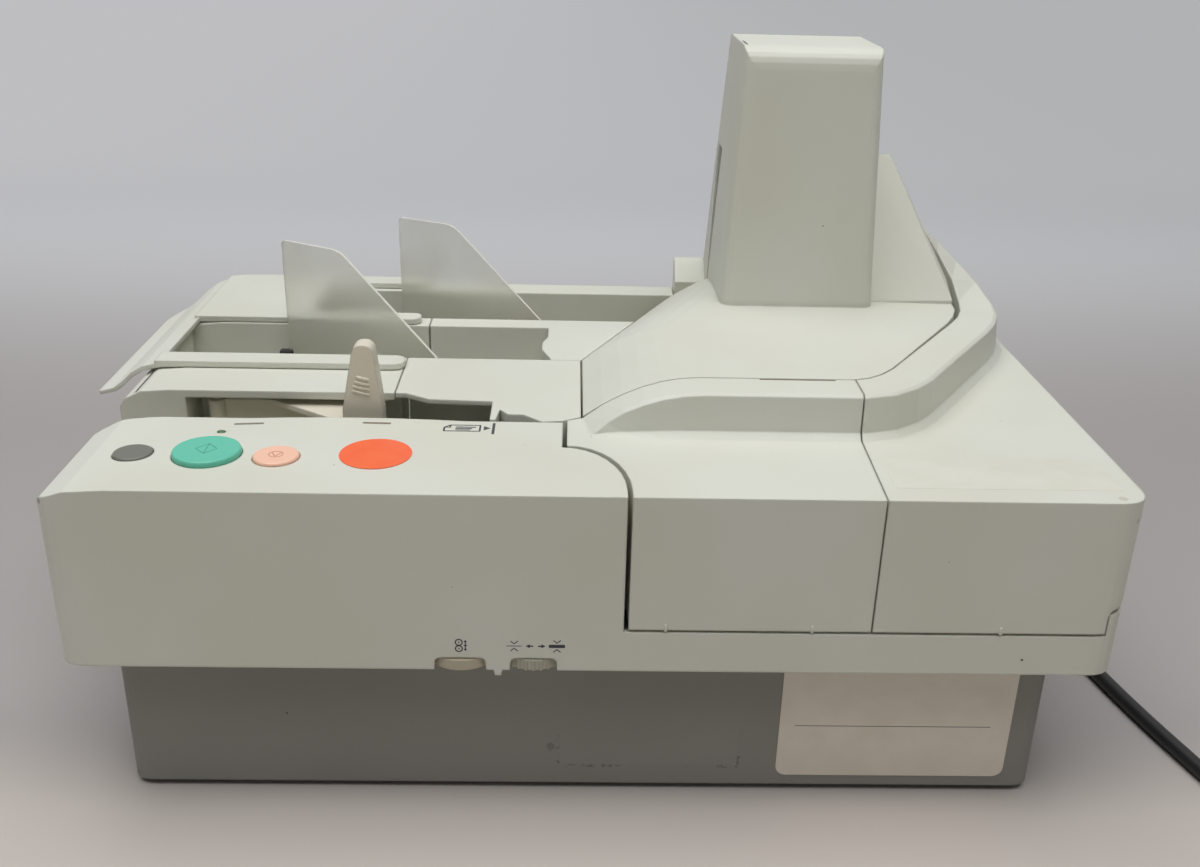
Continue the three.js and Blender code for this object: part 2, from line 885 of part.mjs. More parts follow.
// Plan of the whole housing, drawn in by an inset
const housingPlan = (inset, front = 0, back = housingDepth) =>
  outline([
    [-halfWidth + inset, front + inset, cornerRadius],
    [halfWidth - inset, front + inset, cornerRadius],
    [halfWidth - inset, back - inset, cornerRadius],
    [-halfWidth + inset, back - inset, cornerRadius],
  ]);

const skirtBand = (bottom, top) =>
  cut(
    raised(housingPlan(0), bottom, top),
    raised(housingPlan(wall), bottom - overrun, top + overrun),
  );

// The rounding of the housing's left end, as shares of its length and of its drop
const endRoundShares = [
  [1, 0],
  [0.45, 0.12],
  [0.12, 0.55],
  [0, 1],
];

// A profile in X and Z whose upper left edge is rounded away
const endRound = (length, drop, top) =>
  outline([
    [-halfWidth - overrun, housingBottom - overrun],
    [halfWidth + overrun, housingBottom - overrun],
    [halfWidth + overrun, top],
    ...endRoundShares.map(([along, down]) => [length * along - halfWidth, top - drop * down]),
    [-halfWidth - overrun, top - drop],
  ]);

function chassis() {
  const margin = wall + chassisMargin;
  const plate = raised(housingPlan(margin), chassisBottom, chassisTop);
  const pins = dials.map(({ x }) => post([x, dialY], dialPinRadius, dialBottom, chassisTop, shaftSides));
  const bosses = shaftPlaces.map((at) =>
    post(at, shaftRadius + wall / 2, chassisBottom, chassisTop + bossHeight, shaftSides),
  );
  const body = join(plate, ...pins, ...bosses);
  const shafts = shaftPlaces.map((at) =>
    post(at, shaftRadius + runningClearance, chassisBottom - overrun, chassisTop + overrun, shaftSides),
  );
  return cut(body, ...shafts);
}

function frontCover() {
  const deckPlan = (inset) => {
    const corner = deckCorner(-doorSeam).map((p) => spot(p.x - inset, p.y - inset * cornerLagShare));
    const bulgeY = deckBack + deckBulge - inset;
    const shape = new THREE.Shape();
    shape.moveTo(-halfWidth + inset + cornerRadius, inset);
    shape.lineTo(corner[0].x, inset);
    corner.forEach((p) => shape.lineTo(p.x, Math.max(p.y, inset)));
    shape.lineTo(deckEnd - doorSeam - inset, deckBack - inset);
    shape.lineTo(deckBulgeRight, deckBack - inset);
    const bulgeMiddle = (deckBulgeLeft + deckBulgeRight) / 2;
    shape.quadraticCurveTo(bulgeMiddle, bulgeY, deckBulgeLeft, deckBack - inset);
    shape.lineTo(-halfWidth + inset + deckBackCorner, deckBack - inset);
    const leftEdge = inset - halfWidth;
    shape.quadraticCurveTo(leftEdge, deckBack - inset, leftEdge, deckBack - deckBackCorner);
    shape.lineTo(-halfWidth + inset, inset + cornerRadius);
    shape.quadraticCurveTo(-halfWidth + inset, inset, -halfWidth + inset + cornerRadius, inset);
    return shape;
  };
  const rounded = (inset) => {
    const profile = endRound(endRoundLength, endRoundDrop, deckHeight - inset);
    return alongY(profile, -overrun, deckBack + overrun);
  };
  const shell = cut(
    common(raised(deckPlan(0), floorBottom, deckHeight), rounded(0)),
    common(raised(deckPlan(wall), floorBottom - overrun, deckUnder), rounded(wall)),
  );
  const front = join(
    block([-halfWidth, halfWidth], [-overrun, sideSkirtFront], [housingBottom, skirtTop]),
    block([-halfWidth, 0], [0, deckBack - deckBackCorner], [housingBottom, skirtTop]),
  );
  const skirt = common(skirtBand(housingBottom, skirtTop), front);
  const rise = common(
    skirtBand(skirtTop - wall, sideSkirtTop),
    block([sideSkirtStart, halfWidth], [-overrun, sideSkirtFront], [skirtTop - wall, sideSkirtTop]),
  );
  const ledgeBlock = block(
    [-halfWidth + cornerRadius, halfWidth - cornerRadius],
    [wall / 2, wall + ledgeDepth],
    [floorBottom, pocketFloor],
  );
  const board = keyBoard;
  const posts = [board.left, board.right].flatMap((x) =>
    [board.front, board.back].map((y) =>
      post([x, y], standoffRadius, board.top + gap, deckUnder + wall / 2, pinSides),
    ),
  );
  const holes = keys.map(({ x, y, radius }) =>
    post([x, y], radius + keyClearance, deckUnder - overrun, deckHeight + overrun, tyreSides),
  );
  const lampHole = block(
    [lampX - lampLength / 2 - gap, lampX + lampLength / 2 + gap],
    [lampY - lampWidth / 2 - gap, lampY + lampWidth / 2 + gap],
    [deckUnder - wall, deckHeight + wall],
  );
  const windows = dials.map(({ x, opening }) =>
    alongY(
      outline([
        [x - opening / 2, housingBottom - overrun],
        [x + opening / 2, housingBottom - overrun],
        [x + opening / 2 - wall, windowTop, wall],
        [x - opening / 2 + wall, windowTop, wall],
      ]),
      -overrun,
      wall + gap,
    ),
  );
  const dialRoom = dials.map(({ x }) =>
    post([x, dialY], dialRadius + gap * 2, housingBottom - overrun, dialBottom + dialThickness + gap * 2),
  );
  const tabMiddle = (dialRollerX + dialRollerWindow / 2 + dialGapX - dialGapWindow / 2) / 2;
  const tab = alongY(
    outline([
      [tabMiddle - wall, housingBottom + wall],
      [tabMiddle - wall / 2, housingBottom - tabDrop],
      [tabMiddle + wall / 2, housingBottom - tabDrop],
      [tabMiddle + wall, housingBottom + wall],
    ]),
    0,
    wall,
  );
  const rollerWindow = block(
    [feedRollerX - feedRollerRadius - wall, feedRollerX + feedRollerRadius + wall],
    [deckBack - wall - overrun / 2, deckBack + overrun],
    [rollerBottom - wall, rollerBottom + feedRollerHeight + wall],
  );
  return join(
    cut(
      join(shell, skirt, rise, ledgeBlock, ...posts),
      ...holes,
      lampHole,
      ...windows,
      ...dialRoom,
      rollerWindow,
    ),
    tab,
  );
}

const keys = [
  { name: "jog_key", x: jogX, y: jogY, radius: jogRadius, proud: jogProud, finish: keyGrey },
  { name: "start_key", x: startX, y: startY, radius: startRadius, proud: startProud, finish: teal },
  { name: "stop_key", x: stopX, y: stopY, radius: stopRadius, proud: stopProud, finish: pink },
];

const dials = [
  { name: "roller_dial", x: dialRollerX, opening: dialRollerWindow, teeth: false },
  { name: "thickness_dial", x: dialGapX, opening: dialGapWindow, teeth: true },
];

const keyBottom = deckHeight - keyDepth;
const keyBoard = {
  left: jogX - jogRadius - keyBoardMargin / 2,
  right: stopX + stopRadius + keyBoardMargin / 2,
  front: startY - startRadius - keyBoardMargin / 2,
  back: startY + startRadius + keyBoardMargin / 2,
  top: keyBottom - keyTravel - gap - switchHeight,
};

function keyCap({ x, y, radius, proud }) {
  const top = deckHeight + proud;
  const profile = [
    spot(0, keyBottom),
    spot(radius, keyBottom),
    spot(radius, top - keyEdge),
    spot(radius - keyEdge * keyEdgeShare, top - keyEdge * keyEdgeShare),
    spot(radius - keyEdge, top),
    spot(0, top),
  ];
  return solid(new THREE.LatheGeometry(profile, tyreSides).rotateX(Math.PI / 2).translate(x, y, 0));
}

function keySwitchBoard() {
  const { left, right, front, back, top } = keyBoard;
  const margin = standoffRadius;
  const plate = block(
    [left - margin, right + margin],
    [front - margin, back + margin],
    [top - keyBoardThickness, top],
  );
  const switches = keys.map(({ x, y }) =>
    block(
      [x - switchSize / 2, x + switchSize / 2],
      [y - switchSize / 2, y + switchSize / 2],
      [top - keyBoardThickness / 2, top + switchHeight],
    ),
  );
  return join(plate, ...switches);
}

function dial({ x, teeth }) {
  const top = dialBottom + dialThickness;
  const body = post([x, dialY], dialRadius - (teeth ? dialToothDepth : 0), dialBottom, top, dialSides);
  const ridges = [];
  if (teeth) {
    for (let i = 0; i < dialTeeth; i += 1) {
      const angle = (i / dialTeeth) * Math.PI * 2;
      const reach = dialRadius - dialToothDepth;
      const at = [x + reach * Math.cos(angle), dialY + reach * Math.sin(angle)];
      ridges.push(post(at, dialToothDepth, dialBottom, top, toothSides));
    }
  }
  const boreRadius = dialPinRadius + runningClearance;
  const bore = post([x, dialY], boreRadius, dialBottom - overrun, top + overrun, shaftSides);
  return cut(join(body, ...ridges), bore);
}

// Moulding with the hopper, the pockets and the dividers between them
function stackerHousing() {
  const frontEdge = deckBack + gap;
  const floorFront = deckBack + deckBulge / 2 + gap * 2;
  const rightEdge = humpLeft - seam;
  const slantEnd = slantStart + (rightEdge - rampLeft) / slantSlope;
  const floorPlan = planOf([
    spot(-halfWidth, floorFront),
    spot(deckEnd, floorFront),
    spot(deckEnd, pathFront),
    spot(rampLeft - seam, pathFront),
    spot(rampLeft - seam, slantStart),
    spot(rightEdge, slantEnd + seam),
    spot(rightEdge, housingDepth),
    spot(-halfWidth, housingDepth),
  ]);
  const trimmed = (body) => common(body, raised(housingPlan(0), 0, towerTop));
  const floor = raised(floorPlan, floorBottom, pocketFloor);
  const skirt = common(
    skirtBand(housingBottom, floorBottom + wall / 2),
    block([-halfWidth, rightEdge], [frontEdge, housingDepth], [housingBottom, pocketFloor]),
  );
  const leftWall = block([-halfWidth, pocketLeft], [hopperBack, housingDepth], [floorBottom, deckHeight]);
  const boxOf = (left, right, front, back) => {
    const outer = block([left, right], [front, back], [floorBottom, deckHeight]);
    const inner = block(
      [left - overrun, right - wall],
      [front + wall, back - wall],
      [floorBottom - overrun, deckUnder],
    );
    return cut(outer, inner);
  };
  const dividerOne = boxOf(pocketLeft - wall, feedDeckLeft - seam, hopperBack, pocketOneFront);
  const dividerTwo = boxOf(pocketLeft - wall, exitArmLeft - seam, pocketOneBack, pocketTwoFront);
  const backTrough = boxOf(pocketLeft - wall, humpLeft - seam, pocketTwoBack, housingDepth);
  const recess = block(
    [recessLeft, feedDeckLeft + overrun],
    [hopperBack - overrun, hopperBack + recessDepth],
    [pocketFloor, deckUnder - wall / 2],
  );
  const recessBack = block(
    [recessLeft - wall, feedDeckLeft - seam],
    [hopperBack + recessDepth, hopperBack + recessDepth + wall],
    [floorBottom, deckUnder + wall / 2],
  );
  const recessSide = block(
    [recessLeft - wall, recessLeft],
    [hopperBack, hopperBack + recessDepth + wall],
    [floorBottom, deckUnder + wall / 2],
  );
  const recessEnd = feedDeckLeft - seam;
  const openEnd = block(
    [recessEnd - wall - gap, recessEnd + overrun],
    [hopperBack - overrun, hopperBack + recessDepth],
    [pocketFloor, deckUnder - wall / 2],
  );
  const walls = [leftWall, dividerOne, dividerTwo, backTrough, recessBack, recessSide];
  const body = join(floor, skirt, ...walls);
  const profile = endRound(stackerEndRound, stackerEndDrop, deckHeight);
  const ends = alongY(profile, -overrun, housingDepth + overrun);
  const flapperPin = post([flapperX, flapperY], guidePinRadius, floorBottom, flapperTop - wall, studSides);
  const pins = [pusherPin(), ...guides.map(guidePin), flapperPin];
  const shafts = shaftPlaces.map((at) =>
    post(at, shaftRadius + wall + gap, chassisBottom - overrun, pocketFloor + wall, shaftSides),
  );
  const hollow = cut(common(body, ends), recess, openEnd, ...shafts, ...hoodSlots());
  return trimmed(join(hollow, ...pins));
}

const pusherPin = () =>
  post([pusherPivotX, pusherPivotY], pusherPinRadius, floorBottom, deckUnder + wall / 2, shaftSides);

// Each guide points to the left and back, so that its end stands clear of the pocket's back
const guideYaw = (length, setback, endGap) =>
  halfTurn - THREE.MathUtils.radToDeg(Math.asin((pocketDepth - setback - endGap) / length));

const guides = [
  {
    name: "pocket_guide_1",
    x: guideOneX,
    y: guideOneY,
    length: guideOneLength,
    yaw: guideYaw(guideOneLength, guideOneSetback, guideOneEndGap),
  },
  {
    name: "pocket_guide_2",
    x: guideTwoX,
    y: guideTwoY,
    length: guideTwoLength,
    yaw: guideYaw(guideTwoLength, guideTwoSetback, guideTwoEndGap),
  },
];

const guidePin = ({ x, y }) =>
  post([x, y], guidePinRadius, floorBottom, guideShoulderZ - wall, studSides);

// Frosted guide: a barrel on a pin, with a plate whose outer end stands tall
function pocketGuide({ x, y, length, yaw }) {
  const bottom = pocketFloor + guideFloorGap;
  const plate = alongY(
    outline([
      [0, bottom],
      [length, bottom, wall],
      [length, guideTop, wall],
      [length * (1 - guideFlatShare), guideTop - wall / 2, wall * 2],
      [guideBarrelRadius, guideShoulderZ, wall],
      [0, guideShoulderZ - wall],
    ]),
    -guideThickness / 2,
    guideThickness / 2,
    softCornerSteps,
  ).rotate([0, 0, yaw]).translate([x, y, 0]);
  const barrel = post([x, y], guideBarrelRadius, bottom, guideShoulderZ - wall, studSides);
  const bore = post([x, y], guidePinRadius + runningClearance, bottom - overrun, guideTop, studSides);
  return cut(join(plate, barrel), bore);
}

// Pusher: a plate on a pin, a shelf over it and the thumb tab that stands above the panel
function pusher() {
  const bottom = pocketFloor + pusherFloorGap;
  const pinAt = [pusherPivotX, pusherPivotY];
  const plateFront = pusherPivotY - pusherPlateThickness / 2;
  const plate = block(
    [pusherPivotX, pusherPlateRight],
    [plateFront, plateFront + pusherPlateThickness],
    [bottom, pusherPlateTop],
  );
  const barrel = post(pinAt, pusherBarrelRadius, bottom, pusherPlateTop, shaftSides);
  const tabBack = pusherTabFront + pusherTabDepth;
  const middle = (pusherTabLeft + pusherTabRight) / 2;
  const tab = alongY(
    outline([
      [pusherTabLeft, bottom],
      [pusherTabRight, bottom],
      [pusherTabRight, deckHeight],
      [middle + pusherTabTopWidth / 2 + wall / 2, pusherTabTop, pusherTabTopWidth / 2],
      [middle - pusherTabTopWidth / 2 + wall / 2, pusherTabTop, pusherTabTopWidth / 2],
      [pusherTabLeft, deckHeight],
    ]),
    pusherTabFront,
    tabBack,
  );
  const shelf = raised(
    outline([
      [pusherShelfLeft, plateFront],
      [pusherTabLeft, pusherTabFront + wall],
      [pusherTabRight - wall, pusherTabFront + wall],
      [pusherTabRight - wall, plateFront + pusherPlateThickness],
      [pusherShelfLeft, plateFront + pusherPlateThickness],
    ]),
    pusherPlateTop - pusherShelfThickness,
    pusherPlateTop,
  );
  const web = block(
    [pusherTabLeft, pusherTabLeft + wall],
    [tabBack - wall, pusherPivotY],
    [bottom, pusherPlateTop],
  );
  const boreRadius = pusherPinRadius + runningClearance;
  const bore = post(pinAt, boreRadius, bottom - overrun, pusherPlateTop + overrun, shaftSides);
  return cut(join(plate, barrel, tab, shelf, web), bore);
}

// The hood's rails run in shallow slots in the tops of the dividers
const hoodRails = [
  [(hoodFront + hoodBarBack) / 2, hoodFingerRight],
  [(hoodMidFront + hoodMidBack) / 2, hoodFingerRight],
];

function hoodSlots() {
  return hoodRails.map(([y, right]) =>
    block(
      [-halfWidth - overrun, right - wall],
      [y - hoodRailWidth / 2 - gap, y + hoodRailWidth / 2 + gap],
      [deckHeight - hoodRailDepth - gap, deckHeight + overrun],
    ),
  );
}

// The hood's end, which hugs the rounded end of the housing and flares out past it, as shares of
// its reach and of its drop
const hoodEndShares = [
  [0, 0],
  [0.28, 0.03],
  [0.48, 0.16],
  [0.61, 0.38],
  [0.72, 0.68],
  [0.82, 0.88],
  [1, 1],
];

function hood() {
  const bottom = deckHeight + hoodClearance;
  const top = bottom + hoodThickness;
  const finger = (front, back, right) =>
    raised(
      outline([
        [hoodOpeningLeft - wall, front],
        [right, front, (back - front) / 2 - gap],
        [right, back, (back - front) / 2 - gap],
        [hoodOpeningLeft - wall, back],
      ]),
      bottom,
      top,
    );
  const panel = block([hoodOpeningLeft - wall, hoodPanelRight], [hoodMidFront, hoodBack], [bottom, top]);
  const bendX = stackerEndRound - halfWidth;
  const reach = bendX - hoodTip - hoodThickness / 2;
  const drop = bottom - hoodLipZ;
  const under = hoodEndShares.map(([out, down]) => [bendX - reach * out, bottom - drop * down]);
  const over = under.map(([x, z], i) => {
    const [out] = hoodEndShares[i];
    return [x - (hoodThickness / 2) * out, z + hoodThickness * (1 - out / 2)];
  });
  const opening = block([hoodOpeningLeft, 0], [hoodBarBack, hoodMidFront], [0, towerTop]);
  const visor = cut(alongY(outline([...under, ...over.reverse()]), hoodFront, hoodBack), opening);
  const plan = raised(
    outline([
      [hoodTip, hoodFront, wall],
      [0, hoodFront],
      [0, hoodBack],
      [hoodTip + hoodBackCorner, hoodBack, hoodCornerRadius],
      [hoodTip, hoodBack - hoodBackCorner, hoodCornerRadius],
    ]),
    0,
    towerTop,
  );
  const rails = hoodRails.map(([y, right]) =>
    block(
      [hoodOpeningLeft, right - hoodTravel - wall],
      [y - hoodRailWidth / 2, y + hoodRailWidth / 2],
      [deckHeight - hoodRailDepth, top - wall / 2],
    ),
  );
  return common(
    join(
      visor,
      finger(hoodFront, hoodBarBack, hoodFingerRight),
      finger(hoodMidFront, hoodMidBack, hoodFingerRight),
      finger(hoodRearTongueFront, hoodBack, hoodFingerRight - wall),
      panel,
      ...rails,
    ),
    plan,
  );
}

// Feed deck over the separation roller, with a stepped front edge
const guideStart = 4;
const feedDeckShares = [
  [0, 0.4],
  [0.055, 0.4],
  [0.19, 0.31],
  [0.53, 0.29],
  [0.53, 0.02],
  [0.56, 0.02],
  [0.575, 0.17],
  [0.62, 0.1],
  [0.7, 0.1],
  [0.8, 0],
  [0.905, 0.016],
  [1, 0.074],
];

function feedDeck() {
  const left = feedDeckLeft;
  const width = feedDeckRight - feedDeckLeft;
  const front = deckBack + seam;
  const depth = pocketOneFront - front;
  const edge = feedDeckShares.map(([x, y]) => spot(left + width * x, front + depth * y));
  const plate = raised(
    planOf([...edge, spot(feedDeckRight, pocketOneFront), spot(left, pocketOneFront)]),
    deckUnder,
    deckHeight,
  );
  const back = block(
    [left, feedDeckRight],
    [pocketOneFront - wall, pocketOneFront],
    [pocketFloor + gap, deckHeight - wall / 2],
  );
  const rightSide = block(
    [feedDeckRight - wall, feedDeckRight],
    [pathFront, pocketOneFront],
    [pocketFloor + gap, deckHeight - wall / 2],
  );
  const guideEdge = edge.slice(guideStart);
  const guide = raised(
    planOf([...guideEdge, ...[...guideEdge].reverse().map((p) => spot(p.x, p.y + wall))]),
    pocketFloor + gap,
    deckHeight - wall / 2,
  );
  const rollers = [feedCentre, separationCentre].map((at) =>
    post(at, feedRollerRadius + wall / 2, rollerBottom - wall, rollerBottom + feedRollerHeight + wall * 2),
  );
  return join(plate, back, rightSide, cut(guide, ...rollers));
}

// Exit deck between the two pockets, with an arm along the second divider
const exitNotchShares = [
  [0, 1],
  [0, 0.7],
  [-0.14, 0.52],
  [-0.14, 0.3],
  [0.1, 0.05],
  [0.1, 0],
];

function exitDeck() {
  const front = pocketOneFront + gap;
  const notchDepth = pocketOneBack - front;
  const width = bandWidth;
  const edge = exitNotchShares.map(([x, y]) => spot(exitDeckLeft + width * x, front + notchDepth * y));
  const rightEdge = (y) => innerLeft(y) - seam;
  const top = raised(
    planOf([
      spot(exitArmLeft, pocketOneBack),
      ...edge,
      spot(rightEdge(front), front),
      spot(rightEdge(pocketTwoFront), pocketTwoFront),
      spot(exitArmLeft, pocketTwoFront),
    ]),
    deckUnder,
    deckHeight,
  );
  const bottom = pocketFloor + gap;
  const under = deckHeight - wall / 2;
  const armFront = block(
    [exitArmLeft, exitDeckLeft + wall / 2],
    [pocketOneBack, pocketOneBack + wall],
    [bottom, under],
  );
  const armBack = block(
    [exitArmLeft, exitDeckLeft + wall],
    [pocketTwoFront - wall, pocketTwoFront],
    [bottom, under],
  );
  const end = raised(
    planOf([
      ...edge,
      ...[...edge].reverse().map((p) => spot(p.x + wall, p.y)),
    ]),
    bottom,
    under,
  );
  return join(top, armFront, armBack, end);
}

// Solid shape of the inner unit without its tower, drawn in by an inset
function plateauBody(inset) {
  const bottom = floorBottom - overrun * Math.sign(inset);
  const front = pathFront + inset;
  const stations = [];
  const right = beside(path, () => -inset);
  const backY = right.at(-1).y;
  const start = rampSteps + 1;
  const edges = right.slice(start).filter((p, i, list) => i === 0 || p.y > list[i - 1].y);
  edges[0] = spot(edges[0].x, front);
  edges.forEach((p, i) => {
    stations.push(p);
    const next = edges[i + 1];
    if (next && next.y > slantStart && p.y < slantStart) {
      const share = (slantStart - p.y) / (next.y - p.y);
      stations.push(spot(p.x + (next.x - p.x) * share, slantStart));
    }
  });
  const sections = stations.map(({ x, y }) => {
    const left = innerLeft(y) + inset;
    const loop = [new THREE.Vector3(x, y, bottom), new THREE.Vector3(x, y, plateau - inset)];
    for (let i = rampSteps; i >= 0; i -= 1) {
      const run = (rampLength * i) / rampSteps;
      loop.push(new THREE.Vector3(left + run, y, rampHeight(run) - inset));
    }
    loop.push(new THREE.Vector3(left, y, bottom));
    return loop;
  });
  return common(loft(sections), block([-halfWidth, halfWidth], [front, backY], [bottom, towerTop]));
}

function towerBody(inset) {
  const bottom = floorBottom - overrun * Math.sign(inset);
  const top = towerTop - inset;
  const plan = outline([
    [towerLeft + inset, towerFront + inset, towerCorner],
    [towerRight - inset, towerFront + inset, towerCorner],
    [towerRight - inset, housingDepth, 0],
    [towerLeft + inset, housingDepth, 0],
  ]);
  const geometry = extruded(plan, top - plateau, towerCornerSteps).translate(0, 0, plateau);
  const spots = geometry.attributes.position;
  for (let i = 0; i < spots.count; i += 1) {
    const share = (spots.getZ(i) - plateau) / (towerTop - plateau);
    const across = (spots.getX(i) - towerLeft) / (towerRight - towerLeft);
    const shift = (towerTopLeft - towerLeft) * (1 - across) + (towerTopRight - towerRight) * across;
    spots.setX(i, spots.getX(i) + shift * share);
  }
  const upper = solid(geometry);
  const lower = raised(plan, bottom, plateau, towerCornerSteps);
  const slopeBack = (z) =>
    housingDepth - ((housingDepth - towerTopBack) * (z - towerFootBack)) / (towerTop - towerFootBack);
  const profile = outline([
    [towerFront + inset, bottom],
    [housingDepth - inset, bottom],
    [housingDepth - inset, towerFootBack],
    [slopeBack(towerTop) - inset, top, wall],
    [towerFront + inset, top, towerTopRadius],
  ]);
  return common(join(upper, lower), alongX(profile, towerLeft - overrun, towerRight + overrun));
}

function wedgeBody(inset) {
  const low = plateau - bandWidth - overrun * Math.sign(inset);
  const points = path.slice(bend).flatMap(({ x, y }) => [
    [x, y, low],
    [x, y, Math.min(rimHeight(y, rimSlope), wedgePeakZ)],
  ]);
  points.push(
    [towerRight - wall, wedgeFootY, low],
    [towerRight - wall, wedgeFootY, plateau],
    [wedgeFoot, wedgeFootY, plateau],
    [wedgePeak, wedgePeakY, wedgePeakZ],
    [towerRight - wall, wedgePeakY, wedgePeakZ],
  );
  const whole = convex(points);
  if (!inset) return whole;
  // What all the shifted copies share lies inside the whole by the inset on every side
  const sides = [-inset, inset];
  return common(...sides.flatMap((x) => sides.map((y) => whole.translate([x, y, -inset]))));
}

// Everything behind the slit at the back of the tower, up to the top of the rear cover
function rearRegion(clearance) {
  return alongX(
    outline([
      [slitTopY + clearance, slitTopZ - clearance],
      [slitFootY + clearance, slitFootZ],
      [slitFootY + clearance, floorBottom - overrun * 2],
      [housingDepth + overrun, floorBottom - overrun * 2],
      [housingDepth + overrun, slitTopZ - clearance],
    ]),
    -halfWidth,
    halfWidth,
  );
}

function innerUnit() {
  const shell = cut(
    join(plateauBody(0), towerBody(0), wedgeBody(0)),
    join(plateauBody(wall), towerBody(wall), wedgeBody(wall)),
  );
  const windows = [
    driveWindow(drives[0]),
    driveWindow(drives[1]),
    block(
      [sensorX - sensorWidth / 2 - gap, sensorX + sensorWidth / 2 + gap],
      [pathFront - overrun, pathFront + wall + gap],
      [sensorBottom - gap, sensorBottom + sensorHeight + gap],
    ),
    block(
      [headX - headWidth / 2 - gap, headX + headWidth / 2 + gap],
      [pathFront - overrun, pathFront + wall + gap],
      [rollerBottom - gap, rollerBottom + headHeight + gap],
    ),
  ];
  return cut(shell, rearRegion(0), ...windows);
}

const sensorBottom = doorBottom + wall;

// Transport rollers on the inner side of the path, and the pinch rollers that face them
const drives = [driveAt(spot(frontDriveX, pathFront), spot(0, -1)), sideDrive()];

function driveAt(point, out) {
  const centre = point.clone().addScaledVector(out, driveProud - driveRollerRadius);
  return { point, out, centre };
}

function sideDrive() {
  const a = path[sideRunStart];
  const b = path[sideRunStart + 1];
  const point = a.clone().lerp(b, sideDriveShare);
  const along = b.clone().sub(a).normalize();
  return driveAt(point, spot(along.y, -along.x));
}

const feedCentre = [feedRollerX, deckBack + rollerProud - feedRollerRadius];
const separationCentre = [feedRollerX, deckBack + rollerProud + nip + feedRollerRadius];
const shaftPlaces = [
  feedCentre,
  separationCentre,
  ...drives.map(({ centre }) => centre.toArray()),
  [motorX, motorY],
];

function driveWindow({ centre }) {
  return post(
    centre.toArray(),
    driveRollerRadius + wall / 2,
    rollerBottom - wall / 2,
    rollerBottom + driveRollerHeight + wall / 2,
    roundSides,
  );
}

// A roller with its shaft, as tall as its tyre and reaching down to a given height
function rollerOnShaft(at, radius, height, shaftBottom) {
  return join(
    post(at, radius, rollerBottom, rollerBottom + height, tyreSides),
    post(at, shaftRadius, shaftBottom, rollerBottom + height + wall, shaftSides),
  );
}

const pulleyBottom = pulleyTop - pulleyHeight;

// A flanged pulley and the shaft above it
function pulleyOnShaft(at, shaftTop) {
  return join(
    post(at, pulleyRadius, pulleyBottom, pulleyTop, roundSides),
    post(at, pulleyFlange, pulleyBottom, pulleyBottom + flangeThickness, roundSides),
    post(at, shaftRadius, pulleyBottom, shaftTop, shaftSides),
  );
}

function driveRoller({ centre }) {
  const at = centre.toArray();
  return join(
    rollerOnShaft(at, driveRollerRadius, driveRollerHeight, pulleyBottom),
    pulleyOnShaft(at, rollerBottom),
  );
}

// A motor that stands on the chassis and turns a shaft that comes up through it
function mainMotor() {
  const bottom = chassisTop + bossHeight + gap;
  const at = [motorX, motorY];
  return cut(
    join(
      post(at, motorRadius, bottom, bottom + motorHeight, tyreSides),
      post(at, motorRadius / 2, bottom, bottom + motorHeight + wall, roundSides),
    ),
    post(at, shaftRadius + gap, bottom - overrun, bottom + motorHeight / 2, shaftSides),
  );
}

// The square motor that hangs under the chassis and turns the feed roller
function feedMotor() {
  const top = chassisBottom - gap;
  const [x, y] = feedCentre;
  const half = feedMotorSize / 2;
  return cut(
    block([x - half, x + half], [y - half, y + half], [top - feedMotorHeight, top]),
    post(feedCentre, shaftRadius + gap, top - feedMotorHeight / 2, top + overrun, shaftSides),
  );
}

// Flat belt round the motor pulley and the two transport pulleys
function driveBelt() {
  const centres = [...drives.map(({ centre }) => centre), spot(motorX, motorY)];
  const loop = (radius) => {
    const points = [];
    centres.forEach((here, i) => {
      const before = centres.at(i - 1);
      const after = centres[(i + 1) % centres.length];
      const enter = here.clone().sub(before);
      const leave = after.clone().sub(here);
      const start = Math.atan2(-enter.x, enter.y);
      let turn = Math.atan2(-leave.x, leave.y) - start;
      if (turn < 0) turn += Math.PI * 2;
      for (let s = 0; s <= beltSteps; s += 1) {
        const angle = start + (turn * s) / beltSteps;
        points.push(spot(here.x + radius * Math.cos(angle), here.y + radius * Math.sin(angle)));
      }
    });
    return points;
  };
  const bottom = pulleyBottom + flangeThickness + gap;
  const inner = pulleyRadius + gap;
  return cut(
    raised(planOf(loop(inner + beltThickness)), bottom, pulleyTop - gap),
    raised(planOf(loop(inner)), bottom - overrun, pulleyTop + overrun),
  );
}

